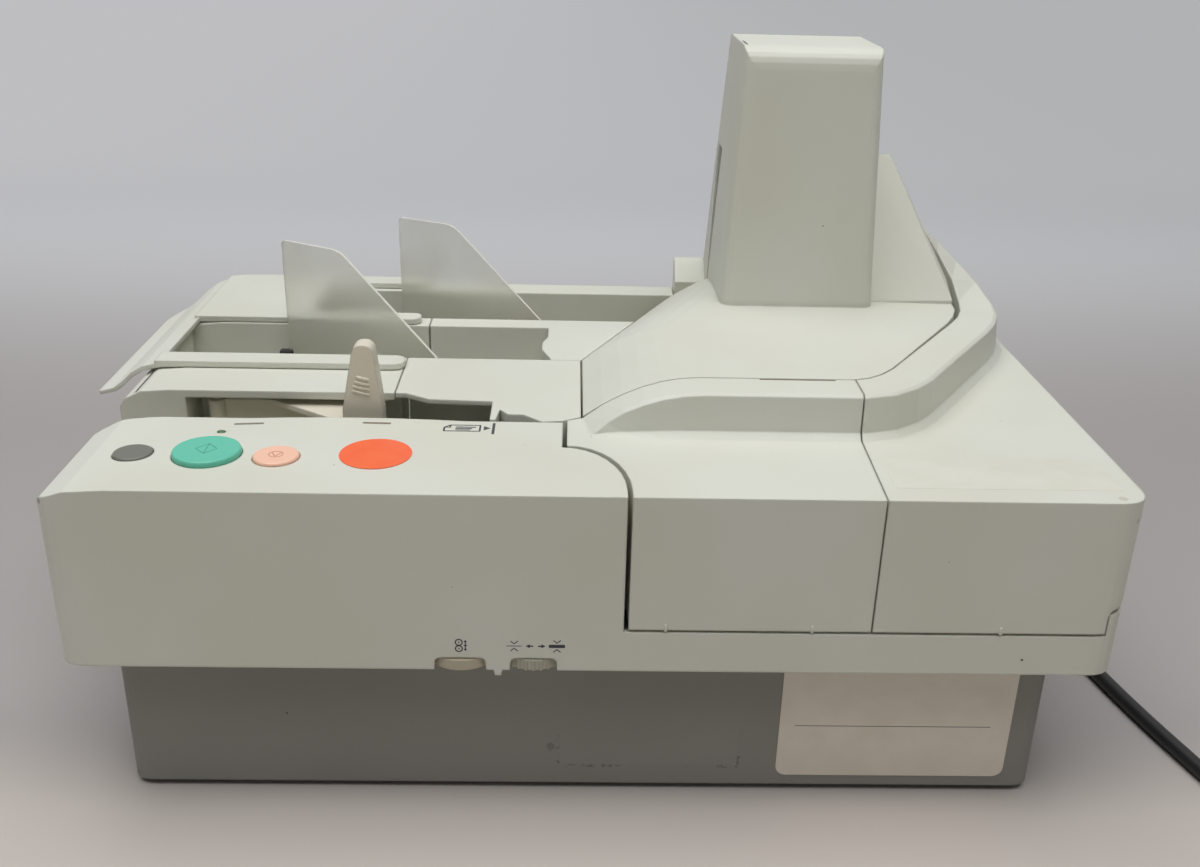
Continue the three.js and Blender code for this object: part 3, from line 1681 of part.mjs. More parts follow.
// Outer edge of the ring round the transport and the arch in front of it
function ringBody(inset) {
  const inner = beside(path, (i) => slotWidth(i) + inset);
  const top = beside(path, (i) => slotWidth(i) + bandAt(i) - inset);
  const foot = beside(path, (i) => slotWidth(i) + bandAt(i) + bandFoot - inset);
  const last = inner.findIndex((p, i) => i > bend && p.x < coverRight) + 1;
  const bottom = deckUnder - (inset ? overrun : 0);
  const sections = [];
  for (let i = 0; i < last; i += 1) {
    const run = path[i].x - rampLeft;
    const climb = i <= rampSteps ? rampHeight(run) - deckHeight : plateauRise;
    const high = deckHeight + climb + rimHeight(path[i].y, rimSlope) - plateau;
    const outerHigh = deckHeight + climb + rimHeight(path[i].y, bandSlope) - plateau;
    const lower = deckHeight + climb * bandFootShare;
    const at = (p, z) => new THREE.Vector3(p.x, p.y, z);
    sections.push([
      at(inner[i], bottom),
      at(foot[i], bottom),
      at(foot[i], Math.max(deckHeight - inset, bottom)),
      at(foot[i].clone().lerp(top[i], bandWaistShare), lower - inset + gap),
      at(top[i], Math.max(outerHigh - inset - wall / 2, bottom + gap)),
      at(top[i].clone().lerp(inner[i], bandEdgeShare), Math.max(outerHigh - inset, bottom + gap * 2)),
      at(inner[i], Math.max(high - inset, bottom + gap * 2)),
    ]);
  }
  return cut(
    common(loft(sections), block([-halfWidth, halfWidth], [0, coverBack - inset], [0, towerTop])),
    block([0, coverRight + inset], [slitTopY - wall, housingDepth], [0, towerTop]),
  );
}

const coverBack = rearWallFront - seam;

// Plan of the door and the side cover together, on the outer side of the slot
function coverBody(inset) {
  const inner = beside(path, (i) => slotWidth(i) + inset);
  const last = inner.findIndex((p, i) => i > bend && p.x < coverRight) - 1;
  const slotEdge = inner.slice(0, last + 1).reverse();
  const before = inner[last];
  const after = inner[last + 1];
  const share = (before.x - coverRight - inset) / (before.x - after.x);
  const end = before.clone().lerp(after, share);
  const corner = deckCorner(doorSeam / 2)
    .reverse()
    .map((p) => spot(p.x + inset, p.y + inset * cornerLagShare));
  const frontLeft = corner.at(-1);
  const shape = new THREE.Shape();
  const left = deckEnd + doorSeam / 2 + inset;
  shape.moveTo(frontLeft.x, inset);
  shape.lineTo(halfWidth - cornerRadius - inset, inset);
  shape.quadraticCurveTo(halfWidth - inset, inset, halfWidth - inset, cornerRadius + inset);
  shape.lineTo(halfWidth - inset, coverBack - inset);
  shape.lineTo(coverRight + inset, coverBack - inset);
  shape.lineTo(coverRight + inset, end.y);
  slotEdge.forEach((p) => shape.lineTo(p.x, p.y));
  shape.lineTo(left, slotEdge.at(-1).y - doorLeadIn);
  corner.forEach((p) => shape.lineTo(Math.max(p.x, left), p.y));
  shape.closePath();
  const bottom = doorBottom - (inset ? overrun : 0);
  return join(raised(shape, bottom, deckHeight - inset), ringBody(inset));
}

// The hinge knuckles of one side, either the cover's or the fixed frame's
function knuckles(ofCover, radius, clearance) {
  return [hingeFrontY, hingeRearY].flatMap((start) => {
    const spans = ofCover ? [1] : [0, 2];
    return spans.map((n) => {
      const front = start + n * (knuckleLength + knuckleGap);
      return bar([hingeX, hingeZ], radius, front - clearance, front + knuckleLength + clearance);
    });
  });
}

const hingeBores = () =>
  [hingeFrontY, hingeRearY].map((start) =>
    bar(
      [hingeX, hingeZ],
      hingePinRadius + runningClearance,
      start - knuckleLength,
      start + hingeLength + knuckleLength,
      pinSides,
    ),
  );

function hingePin(start) {
  return bar([hingeX, hingeZ], hingePinRadius, start, start + hingeLength, pinSides);
}

function transportCover() {
  const shell = cut(coverBody(0), coverBody(wall));
  const sideFloor = block(
    [doorSplit, halfWidth + overrun],
    [wall + gap, housingDepth],
    [housingBottom, coverSideBottom],
  );
  const cornerRoom = alongY(
    outline([
      [sideSkirtStart - seam, housingBottom],
      [halfWidth + overrun, housingBottom],
      [halfWidth + overrun, coverSideBottom],
      [sideSkirtStart - seam, coverSideBottom, wall * 2],
    ]),
    -overrun,
    housingDepth,
  );
  const wings = knuckles(true, knuckleRadius, 0);
  const sensorWindow = block(
    [sensorX - sensorWidth / 2 - gap, sensorX + sensorWidth / 2 + gap],
    [slotOuter[rampSteps].y - wall - gap, slotOuter[rampSteps].y + slotNarrow / 2],
    [sensorBottom - gap, sensorBottom + sensorHeight + gap],
  );
  const body = cut(
    shell,
    sideFloor,
    cornerRoom,
    sideGuidePlate(gap),
    ...knuckles(false, knuckleRadius + seam, seam),
  );
  const whole = join(body, ...wings, ...pinchEars(drives[0]));
  return cut(whole, ...hingeBores(), pinchWindow(drives[0]), sensorWindow);
}

// Straight plate of the slot's outer wall beside the second drive roller, grown by a clearance
function sideGuidePlate(clearance) {
  const start = slotOuter[sideRunStart];
  const end = slotOuter[sideRunStart + 2];
  const along = end.clone().sub(start).normalize();
  const out = spot(along.y, -along.x);
  const corner = (point, forward, sideways) =>
    point.clone().addScaledVector(along, forward).addScaledVector(out, sideways);
  const reach = clearance ? wall : 0;
  const plan = [
    corner(start, wall - clearance, -reach),
    corner(end, clearance - wall, -reach),
    corner(end, clearance - wall, wall + clearance),
    corner(start, wall - clearance, wall + clearance),
  ];
  const bottom = coverSideBottom + gap - (clearance ? overrun : 0);
  return raised(planOf(plan), bottom, deckUnder - wall - gap + clearance);
}

function sideGuide() {
  return cut(join(sideGuidePlate(0), ...pinchEars(drives[1])), pinchWindow(drives[1]));
}

const pinchCentre = ({ centre, out }) =>
  centre.clone().addScaledVector(out, driveRollerRadius + nip + pinchRollerRadius);

const pinchBottom = coverSideBottom + wall * 2;

function pinchWindow(drive) {
  const at = pinchCentre(drive).toArray();
  return join(
    post(
      at,
      pinchRollerRadius + wall / 3,
      pinchBottom - gap,
      pinchBottom + driveRollerHeight + gap,
      shaftSides,
    ),
    post(
      at,
      shaftRadius / 2 + runningClearance,
      pinchBottom - wall * 3,
      pinchBottom + driveRollerHeight + wall * 3,
      pinSides,
    ),
  );
}

// Two ears that carry a pinch roller on the back of the guide wall
function pinchEars(drive) {
  const centre = pinchCentre(drive);
  const angle = THREE.MathUtils.radToDeg(Math.atan2(drive.out.y, drive.out.x));
  return [pinchBottom - gap - wall, pinchBottom + driveRollerHeight + gap].map((bottom) => {
    const width = pinchRollerRadius;
    const reach = pinchRollerRadius - wall / 2;
    const ear = block([-reach, wall * 2], [-width / 2, width / 2], [bottom, bottom + wall]);
    return ear.rotate([0, 0, angle]).translate([centre.x, centre.y, 0]);
  });
}

function pinchRoller(drive) {
  const at = pinchCentre(drive).toArray();
  return join(
    post(at, pinchRollerRadius, pinchBottom, pinchBottom + driveRollerHeight, shaftSides),
    post(
      at,
      shaftRadius / 2,
      pinchBottom - gap - wall,
      pinchBottom + driveRollerHeight + gap + wall,
      pinSides,
    ),
  );
}

// The two mouldings of the cover are parted by a seam that leans to the right as it goes back
function coverHalf(cover, isDoor) {
  const side = isDoor ? -1 : 1;
  const far = side * housingWidth;
  const edge = (seam / 2) * side;
  const half = planOf([
    spot(doorSplit + edge, -overrun),
    spot(doorSplitBack + edge, doorSplitDepth),
    spot(doorSplitBack + edge, housingDepth + overrun),
    spot(far, housingDepth + overrun),
    spot(far, -overrun),
  ]);
  return common(cover, raised(half, 0, towerTop));
}

// Steel strap that screws the door and the side cover together from inside
function coverStrap() {
  const top = deckUnder - gap;
  const front = wall + strapWidth / 2;
  return block(
    [doorSplit - strapLength / 2, doorSplit + strapLength / 2],
    [front, front + strapWidth],
    [top - chassisThickness, top],
  );
}

// Rear cover: back wall, side skirt and the hump that closes the path behind the tower, along the
// last points of the slot
const closingPoints = 4;

function rearCover() {
  const outerEdge = slotOuter.slice(-closingPoints);
  const plan = (inset) => {
    const edge = outerEdge.map((p) => spot(Math.min(p.x, coverRight - seam), p.y + inset));
    return planOf([
      spot(coverRight - seam - inset, edge[0].y),
      ...edge.slice(1),
      spot(humpLeft + inset, edge.at(-1).y),
      spot(humpLeft + inset, housingDepth - inset),
      spot(coverRight - seam - inset, housingDepth - inset),
    ]);
  };
  const humpBody = (inset) => {
    const bottom = (inset ? -overrun : 0) + floorBottom;
    const profile = alongY(
      outline([
        [humpLeft - overrun, bottom - overrun],
        [coverRight, bottom - overrun],
        [coverRight, humpRightZ - inset],
        [towerRight, slitTopZ - gap - inset],
        [towerLeft + inset + (towerTopLeft - towerLeft) / 2, slitTopZ - gap - inset],
        [towerLeft + inset, plateau - inset],
        [towerLeft + inset, deckHeight - inset],
        [humpLeft - overrun, deckHeight - inset],
      ]),
      slitTopY,
      housingDepth,
    );
    const towerSlope = alongX(
      outline([
        [slitTopY - overrun, bottom - overrun],
        [housingDepth - inset, bottom - overrun],
        [housingDepth - inset, towerFootBack],
        [housingDepth - inset - slopeAt(slitTopZ), slitTopZ],
        [slitTopY - overrun, slitTopZ],
      ]),
      humpLeft,
      coverRight,
    );
    return common(raised(plan(inset), bottom, slitTopZ), profile, towerSlope, rearRegion(seam + inset));
  };
  const hump = cut(humpBody(0), humpBody(wall));
  const bracket = alongX(
    outline([
      [bracketFrontY, deckHeight - wall],
      [bracketFrontY, bracketLow],
      [bracketBackY, bracketHigh, wall],
      [housingDepth, bracketHigh],
      [housingDepth, deckHeight - wall],
    ]),
    humpLeft,
    towerLeft + wall,
  );
  const skirtLow = common(
    skirtBand(housingBottom, floorBottom + wall),
    join(
      block(
        [humpLeft, halfWidth],
        [rearWallFront - cornerRadius, housingDepth],
        [housingBottom, pocketFloor],
      ),
      block(
        [halfWidth - wall, halfWidth],
        [sideSkirtFront + seam, housingDepth],
        [housingBottom, pocketFloor],
      ),
    ),
  );
  const side = common(
    skirtBand(floorBottom, sideSkirtTop),
    block(
      [halfWidth - cornerRadius, halfWidth],
      [sideSkirtFront + seam, housingDepth],
      [floorBottom, sideSkirtTop],
    ),
  );
  const back = block(
    [coverRight - wall, halfWidth - wall],
    [rearWallFront, housingDepth],
    [floorBottom, deckHeight],
  );
  const ledge = block(
    [halfWidth - wall - ledgeDepth, halfWidth - wall / 2],
    [hingeFrontY, hingeRearY],
    [floorBottom, pocketFloor],
  );
  const wings = knuckles(false, knuckleRadius, 0);
  const room = knuckles(true, knuckleRadius + seam, seam);
  const body = cut(join(hump, bracket, skirtLow, side, back, ledge), ...room);
  return cut(join(body, ...wings), ...hingeBores());
}

function slopeAt(z) {
  return ((housingDepth - towerTopBack) * (z - towerFootBack)) / (towerTop - towerFootBack);
}

// Sensor bars either side of the path
function sensorBar(front, back) {
  return block(
    [sensorX - sensorWidth / 2, sensorX + sensorWidth / 2],
    [front, back],
    [sensorBottom, sensorBottom + sensorHeight],
  );
}

function magneticHead() {
  const front = pathFront;
  return block(
    [headX - headWidth / 2, headX + headWidth / 2],
    [front, front + headDepth],
    [rollerBottom, rollerBottom + headHeight],
  );
}

function inkCartridge() {
  const back = slitFootY - wall - gap;
  return block(
    [cartridgeX - cartridgeWidth / 2, cartridgeX + cartridgeWidth / 2],
    [back - cartridgeDepth, back],
    [chassisTop + gap, chassisTop + gap + cartridgeHeight],
  );
}

function sorterFlapper() {
  const at = [flapperX, flapperY];
  const bottom = pocketFloor + gap;
  const blade = raised(
    outline([
      [flapperX - flapperLength, flapperY - guideThickness / 2],
      [flapperX, flapperY - flapperRadius],
      [flapperX, flapperY + flapperRadius],
      [flapperX - flapperLength, flapperY + guideThickness / 2],
    ]),
    bottom,
    flapperTop,
  );
  return cut(
    join(blade, post(at, flapperRadius, bottom, flapperTop, studSides)),
    post(at, guidePinRadius + runningClearance, bottom - overrun, flapperTop + overrun, studSides),
  );
}

function electronics({ left, front, width, depth }, parts) {
  const bottom = trayFloor + standoffHeight;
  const top = bottom + boardThickness;
  const plate = block([left, left + width], [front, front + depth], [bottom, top]);
  const solids = parts.map(([x, y, across, deep, high]) =>
    block(
      [left + width * x, left + width * (x + across)],
      [front + depth * y, front + depth * (y + deep)],
      [top - boardThickness / 2, top + standoffHeight * high],
    ),
  );
  return join(plate, ...solids);
}

// Parts on the boards: place and size as shares of the board, height as a share of the standoffs
const supplyPartShares = [
  [0.1, 0.15, 0.28, 0.4, 3.6],
  [0.5, 0.15, 0.16, 0.3, 3.2],
  [0.72, 0.1, 0.18, 0.7, 2.4],
  [0.12, 0.65, 0.3, 0.2, 1.6],
];
const controlPartShares = [
  [0.15, 0.2, 0.2, 0.25, 0.4],
  [0.5, 0.3, 0.25, 0.3, 0.5],
  [0.15, 0.6, 0.15, 0.25, 0.3],
  [0.82, 0.1, 0.1, 0.75, 1.2],
];

const fanBack = trayBack - wall - gap;

function fanFrame() {
  const front = fanBack - fanDepth;
  const box = block(
    [fanX - fanSize / 2, fanX + fanSize / 2],
    [front, fanBack],
    [fanCentreZ - fanSize / 2, fanCentreZ + fanSize / 2],
  );
  const bore = bar([fanX, fanCentreZ], fanBladeRadius + gap * 3, front + wall, fanBack + overrun, tyreSides);
  const mouth = cut(
    bar([fanX, fanCentreZ], fanBladeRadius, front - overrun, fanBack, tyreSides),
    join(
      bar([fanX, fanCentreZ], fanHubRadius, front - overrun, fanBack, roundSides),
      block(
        [fanX - fanSize, fanX + fanSize],
        [front - overrun, fanBack],
        [fanCentreZ - wall / 2, fanCentreZ + wall / 2],
      ),
      block(
        [fanX - wall / 2, fanX + wall / 2],
        [front - overrun, fanBack],
        [fanCentreZ - fanSize, fanCentreZ + fanSize],
      ),
    ),
  );
  return cut(box, bore, mouth);
}

function fanRotor() {
  const front = fanBack - fanDepth + wall + gap;
  const back = fanBack - gap;
  const hub = bar([fanX, fanCentreZ], fanHubRadius, front, back, roundSides);
  const blades = [];
  for (let i = 0; i < fanBlades; i += 1) {
    const blade = block(
      [fanHubRadius - wall, fanBladeRadius - gap * 2],
      [(front - back) / 2 + wall / 2, (back - front) / 2 - wall / 2],
      [-fanBladeThickness / 2, fanBladeThickness / 2],
    );
    const pitched = blade.rotate([fanBladePitch, 0, 0]);
    const turned = pitched.rotate([0, (halfTurn * 2 * i) / fanBlades, 0]);
    blades.push(turned.translate([fanX, (front + back) / 2, fanCentreZ]));
  }
  return join(hub, ...blades);
}

// Mains inlet with the power rocker beside it, in one panel module
const inletBack = trayBack + wall;

function mainsInlet() {
  const right = inletX + rockerOffset + rockerWidth / 2 + wall;
  const body = block(
    [inletX - inletWidth / 2, right],
    [inletBack - inletDepth, inletBack - wall / 2],
    [inletZ - inletHeight / 2, inletZ + inletHeight / 2],
  );
  const middle = (inletX - inletWidth / 2 + right) / 2;
  const flange = block(
    [middle - flangeWidth / 2, middle + flangeWidth / 2],
    [trayBack + gap, inletBack],
    [inletZ - flangeHeight / 2, inletZ + flangeHeight / 2],
  );
  const socket = block(
    [inletX - socketWidth / 2, inletX + socketWidth / 2],
    [inletBack - socketDepth, inletBack + overrun],
    [inletZ - socketHeight / 2, inletZ + socketHeight / 2],
  );
  const rockerX = inletX + rockerOffset;
  const rockerHole = block(
    [rockerX - rockerWidth / 2, rockerX + rockerWidth / 2],
    [inletBack - rockerDepth - wall, inletBack + overrun],
    [inletZ - inletHeight / 2 + gap, inletZ + inletHeight / 2 - gap],
  );
  return join(cut(join(body, flange), socket, rockerHole), ...inletPins(0));
}

// The three contact pins in the socket, grown by a clearance
function inletPins(clearance) {
  return [-1, 0, 1].map((n) => {
    const x = inletX + n * socketPinPitch;
    const reach = bladeWidth / 2 - gap + clearance;
    return block(
      [x - bladeThickness / 2 - clearance, x + bladeThickness / 2 + clearance],
      [inletBack - socketDepth - gap, inletBack - wall + clearance],
      [inletZ - reach, inletZ + reach],
    );
  });
}

function powerRocker() {
  const half = rockerHeight / 2 - wall / 2;
  const body = alongX(
    outline([
      [-rockerDepth * rockerBodyShare, -half * rockerNeckShare],
      [0, -half],
      [-rockerDish, 0],
      [0, half],
      [-rockerDepth * rockerBodyShare, half * rockerNeckShare],
    ]),
    -rockerWidth / 2 + gap,
    rockerWidth / 2 - gap,
  );
  return body.rotate([rockerAngle, 0, 0]).translate(rockerPivot());
}

const rockerPivot = () => [inletX + rockerOffset, inletBack, inletZ];

function dataPort() {
  const body = block(
    [portX - portWidth / 2, portX + portWidth / 2],
    [trayBack - wall - portDepth, trayBack + wall / 2],
    [inletZ - portHeight / 2, inletZ + portHeight / 2],
  );
  const mouth = block(
    [portX - portWidth / 2 + wall, portX + portWidth / 2 - wall],
    [trayBack - portDepth / 2, trayBack + overrun],
    [inletZ - portHeight / 2 + wall, inletZ + portHeight / 2 - wall],
  );
  return cut(body, mouth);
}

function sticker() {
  const bottom = deckHeight + labelGap;
  return post([stickerX, stickerY], stickerRadius, bottom, bottom + labelThickness, dialSides);
}

function blankLabel() {
  return block(
    [labelLeft, labelRight],
    [trayFront - labelGap - labelThickness, trayFront - labelGap],
    [labelBottom, trayTop - wall],
  );
}

function statusLamp() {
  return block(
    [lampX - lampLength / 2, lampX + lampLength / 2],
    [lampY - lampWidth / 2, lampY + lampWidth / 2],
    [deckHeight - lampDepth, deckHeight + lampProud],
  );
}

// Connector in the inlet, with a tapered relief that the lead leaves square
function mainsConnector() {
  const front = inletBack + gap;
  const back = front + connectorLength;
  const body = block(
    [inletX - connectorWidth / 2, inletX + connectorWidth / 2],
    [front, back],
    [inletZ - connectorHeight / 2, inletZ + connectorHeight / 2],
  );
  const nose = block(
    [inletX - socketWidth / 2 + wall / 2, inletX + socketWidth / 2 - wall / 2],
    [inletBack - socketDepth + wall / 2, front + wall],
    [inletZ - socketHeight / 2 + wall / 2, inletZ + socketHeight / 2 - wall / 2],
  );
  const taper = new THREE.CylinderGeometry(reliefTip, reliefRoot, reliefLength, studSides);
  const relief = solid(taper.translate(inletX, back + reliefLength / 2, inletZ));
  return cut(join(body, nose, relief), ...inletPins(gap));
}

// Free stretch of the lead, by points chosen by hand along its route
const cordRoute = [
  [150, 349.2, 34],
  [150, 358, 34],
  [150.6, 368, 32],
  [153, 379, 26.5],
  [158, 390, 18],
  [166, 400, 10],
  [177, 407, 5.2],
  [192, 410, 4.1],
  [211, 408, 4.1],
  [229, 400, 4.1],
  [244, 386, 4.1],
  [253, 367, 4.1],
  [257, 344, 4.1],
  [258, 314, 4.1],
  [259, 282, 4.1],
  [262, 240, 4.1],
  [267, 195, 4.1],
  [273, 150, 4.1],
  [280, 106, 4.1],
  [288, 68, 4.1],
  [297, 33, 4.1],
  [304.5, 6, 4.1],
  [311, -17, 4.1],
];

const cordCurve = new THREE.CatmullRomCurve3(
  cordRoute.map((point) => new THREE.Vector3(...point)),
  false,
  "centripetal",
);

function cordStretch() {
  const ring = new THREE.Shape();
  for (let i = 0; i < cordSides; i += 1) {
    const angle = (i / cordSides) * Math.PI * 2;
    const point = spot(cordRadius * Math.cos(angle), cordRadius * Math.sin(angle));
    if (i === 0) ring.moveTo(point.x, point.y);
    else ring.lineTo(point.x, point.y);
  }
  ring.closePath();
  const steps = Math.ceil(cordCurve.getLength() / cordStep);
  return solid(new THREE.ExtrudeGeometry(ring, { steps, extrudePath: cordCurve }));
}

// The rest of the lead lies in a coil of two layers. It spirals in, climbs in the half turn where it
// reverses, dipping inwards there, and spirals out again. Its mean radius uses up the lead's length.
const coilEnds = cordRadius * 2;
const coilTurns = turnsIn + climbTurn + turnsIn;
const coilLength = cordLength - cordCurve.getLength() - coilEnds * 2;
const coilMean = coilLength / (coilTurns * Math.PI * 2);

function coilRing() {
  const heading = cordCurve.getTangent(1);
  const side = new THREE.Vector3(-heading.y, heading.x, 0);
  const start = cordCurve.getPoint(1).addScaledVector(heading, gap);
  const outer = coilMean + (coilPitch * turnsIn) / 2;
  const centre = start
    .clone()
    .addScaledVector(heading, coilEnds)
    .addScaledVector(side, outer);
  const first = Math.atan2(-side.y, -side.x);
  const line = [start];
  const steps = loopSteps * coilTurns;
  for (let i = 0; i <= steps; i += 1) {
    const turn = i / loopSteps;
    const climb = THREE.MathUtils.clamp((turn - turnsIn) / climbTurn, 0, 1);
    const dip = coilDip * Math.sin(Math.PI * climb);
    const inwards = Math.min(turn, turnsIn);
    const outwards = Math.max(turn - turnsIn - climbTurn, 0);
    const radius = outer - coilPitch * (inwards - outwards) - dip;
    const angle = first + turn * Math.PI * 2;
    line.push(
      new THREE.Vector3(
        centre.x + radius * Math.cos(angle),
        centre.y + radius * Math.sin(angle),
        start.z + layerPitch * climb,
      ),
    );
  }
  const last = first + coilTurns * Math.PI * 2;
  const leaving = new THREE.Vector3(-Math.sin(last), Math.cos(last), 0);
  line.push(line.at(-1).clone().addScaledVector(leaving, coilEnds));
  return { line, leaving };
}

const coil = coilRing();

function leastCoilGap() {
  let least = Infinity;
  coil.line.forEach((a, i) => {
    for (let j = i + loopSteps / 2; j < coil.line.length; j += 1) {
      least = Math.min(least, a.distanceTo(coil.line[j]) - cordRadius * 2);
    }
  });
  return least;
}

function cordCoil() {
  const { line, leaving } = coil;
  const sections = line.map((point, i) => {
    let along = line[Math.min(i + 1, line.length - 1)].clone().sub(line[Math.max(i - 1, 0)]);
    if (i <= 1) along = cordCurve.getTangent(1);
    if (i >= line.length - 2) along = leaving.clone();
    const across = new THREE.Vector3(along.y, -along.x, 0).normalize();
    const up = across.clone().cross(along).normalize();
    const ring = [];
    for (let k = 0; k < coilSides; k += 1) {
      const angle = (k / coilSides) * Math.PI * 2;
      ring.push(
        point
          .clone()
          .addScaledVector(across, cordRadius * Math.cos(angle))
          .addScaledVector(up, cordRadius * Math.sin(angle)),
      );
    }
    return ring;
  });
  return loft(sections);
}

// Plug at the end of the coil: relief, body, two flat blades and a round earth pin
function mainsPlug() {
  const end = coil.line.at(-1);
  const turn = THREE.MathUtils.radToDeg(Math.atan2(-coil.leaving.x, coil.leaving.y));
  const start = gap;
  const bodyFront = start + plugRelief;
  const bodyBack = bodyFront + plugLength;
  const taper = new THREE.CylinderGeometry(reliefRoot, reliefTip, plugRelief, studSides);
  const relief = solid(taper.translate(0, start + plugRelief / 2, 0));
  const half = plugHeight / 2;
  const body = raised(
    outline([
      [-plugWidth * plugNeckShare, bodyFront, wall],
      [plugWidth * plugNeckShare, bodyFront, wall],
      [plugWidth / 2, bodyFront + plugLength * plugShoulderShare, wall],
      [plugWidth / 2, bodyBack],
      [-plugWidth / 2, bodyBack],
      [-plugWidth / 2, bodyFront + plugLength * plugShoulderShare, wall],
    ]),
    -half,
    half,
    softCornerSteps,
  );
  const blades = [-1, 1].map((side) =>
    block(
      [(side * bladeSpacing) / 2 - bladeThickness / 2, (side * bladeSpacing) / 2 + bladeThickness / 2],
      [bodyBack - wall, bodyBack + bladeLength],
      [0, bladeWidth],
    ),
  );
  const pinEnd = bodyBack + bladeLength + wall;
  const earth = bar([0, -bladeWidth], earthPinRadius, bodyBack - wall, pinEnd, pinSides);
  const plug = join(relief, body, ...blades, earth);
  return plug.rotate([0, 0, turn]).translate([end.x, end.y, end.z]);
}

function layOutPieces() {
  addPiece("base_tray", tray(), slate);
  trayCorners(footInset).forEach((at, i) => addPiece(`foot_${i + 1}`, foot(at), rubber));
  addPiece("blank_label", blankLabel(), paper);
  addPiece("chassis_plate", chassis(), zinc);
  addPiece("front_cover", frontCover(), cream);
  addPiece("stacker_housing", stackerHousing(), cream);
  addPiece("feed_deck", feedDeck(), cream);
  addPiece("exit_deck", exitDeck(), cream);
  addPiece("inner_unit_cover", innerUnit(), cream);
  addPiece("rear_cover", rearCover(), cream);
  addPiece("left_hood", hood(), cream);
  addPiece("pusher", pusher(), tabCream);
  guides.forEach((guide) => addPiece(guide.name, pocketGuide(guide), frosted));
  keys.forEach((key) => addPiece(key.name, keyCap(key), key.finish));
  addPiece("key_switch_board", keySwitchBoard(), board);
  addPiece("status_lamp", statusLamp(), lampGreen);
  addPiece("round_sticker", sticker(), orange);
  dials.forEach((wheel) => addPiece(wheel.name, dial(wheel), slate));
}

function layOutCover() {
  const cover = transportCover();
  addPiece("front_door_cover", coverHalf(cover, true), cream);
  addPiece("right_side_cover", coverHalf(cover, false), cream);
  addPiece("side_guide", sideGuide(), cream);
  addPiece("cover_strap", coverStrap(), zinc);
  const frontY = slotOuter[rampSteps].y;
  addPiece("image_sensor_front", sensorBar(frontY - sensorDepth, frontY), glass);
  drives.forEach((drive, i) => addPiece(`pinch_roller_${i + 1}`, pinchRoller(drive), rubber));
  addPiece("hinge_pin_front", hingePin(hingeFrontY), steel);
  addPiece("hinge_pin_rear", hingePin(hingeRearY), steel);
}

function layOutTransport() {
  const feedShaft = chassisBottom - shaftReach;
  const feedRoller = rollerOnShaft(feedCentre, feedRollerRadius, feedRollerHeight, feedShaft);
  addPiece("feed_roller", feedRoller, rubber);
  addPiece("feed_motor", feedMotor(), black);
  const plainShaft = chassisBottom;
  const separation = rollerOnShaft(separationCentre, feedRollerRadius, feedRollerHeight, plainShaft);
  addPiece("separation_roller", separation, rubber);
  drives.forEach((drive, i) => addPiece(`drive_roller_${i + 1}`, driveRoller(drive), rubber));
  const shaftTop = chassisTop + bossHeight + shaftReach;
  addPiece("motor_pulley", pulleyOnShaft([motorX, motorY], shaftTop), steel);
  addPiece("drive_belt", driveBelt(), black);
  addPiece("main_motor", mainMotor(), steel);
  const innerY = path[rampSteps].y;
  addPiece("image_sensor_back", sensorBar(innerY, innerY + sensorDepth), glass);
  addPiece("magnetic_head", magneticHead(), steel);
  addPiece("ink_cartridge", inkCartridge(), black);
  addPiece("sorter_flapper", sorterFlapper(), tabCream);
}

function layOutElectronics() {
  addPiece("power_supply_board", electronics(supply, supplyPartShares), board);
  addPiece("control_board", electronics(control, controlPartShares), board);
  addPiece("fan_frame", fanFrame(), black);
  addPiece("fan_rotor", fanRotor(), black);
  addPiece("mains_inlet", mainsInlet(), black);
  addPiece("power_rocker", powerRocker(), black);
  addPiece("data_port", dataPort(), zinc);
}

function layOutCord() {
  addPiece("mains_connector", mainsConnector(), black, cordGroup);
  addPiece("mains_cord", cordStretch(), black, cordGroup);
  addPiece("mains_cord_coil", cordCoil(), black, cordGroup);
  addPiece("mains_plug", mainsPlug(), black, cordGroup);
}

layOutPieces();
layOutCover();
layOutTransport();
layOutElectronics();
layOutCord();

// The origin is the middle of the bottom of the box that holds the scanner without its lead
const box = new THREE.Box3().setFromObject(group);
const middle = box.getCenter(new THREE.Vector3());
const scanner = new THREE.Group();
scanner.add(group, cordGroup);
scanner.position.set(-middle.x, -middle.y, -box.min.z);
const part = new THREE.Group();
part.name = "cheque_scanner";
part.add(scanner);

const rounded = (value) => Math.round(value * 100) / 100;
console.log("origin moved by", rounded(middle.x), rounded(middle.y), rounded(box.min.z));
console.log("stretch", rounded(cordCurve.getLength()), "coil mean radius", rounded(coilMean));
console.log("least gap of the coil to itself", rounded(leastCoilGap()));

export default part;
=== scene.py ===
# %% [markdown]
# A cheque scanner for a bank counter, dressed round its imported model.
# The moulded covers keep the shapes that the model gives them. What is added here is what a
# designer leaves to the finish: the camera, the lead, rounded edges, printed marks, ribs and wear.

# %% Load the frame
import math

import bmesh
import bpy
from mathutils import Matrix, Vector


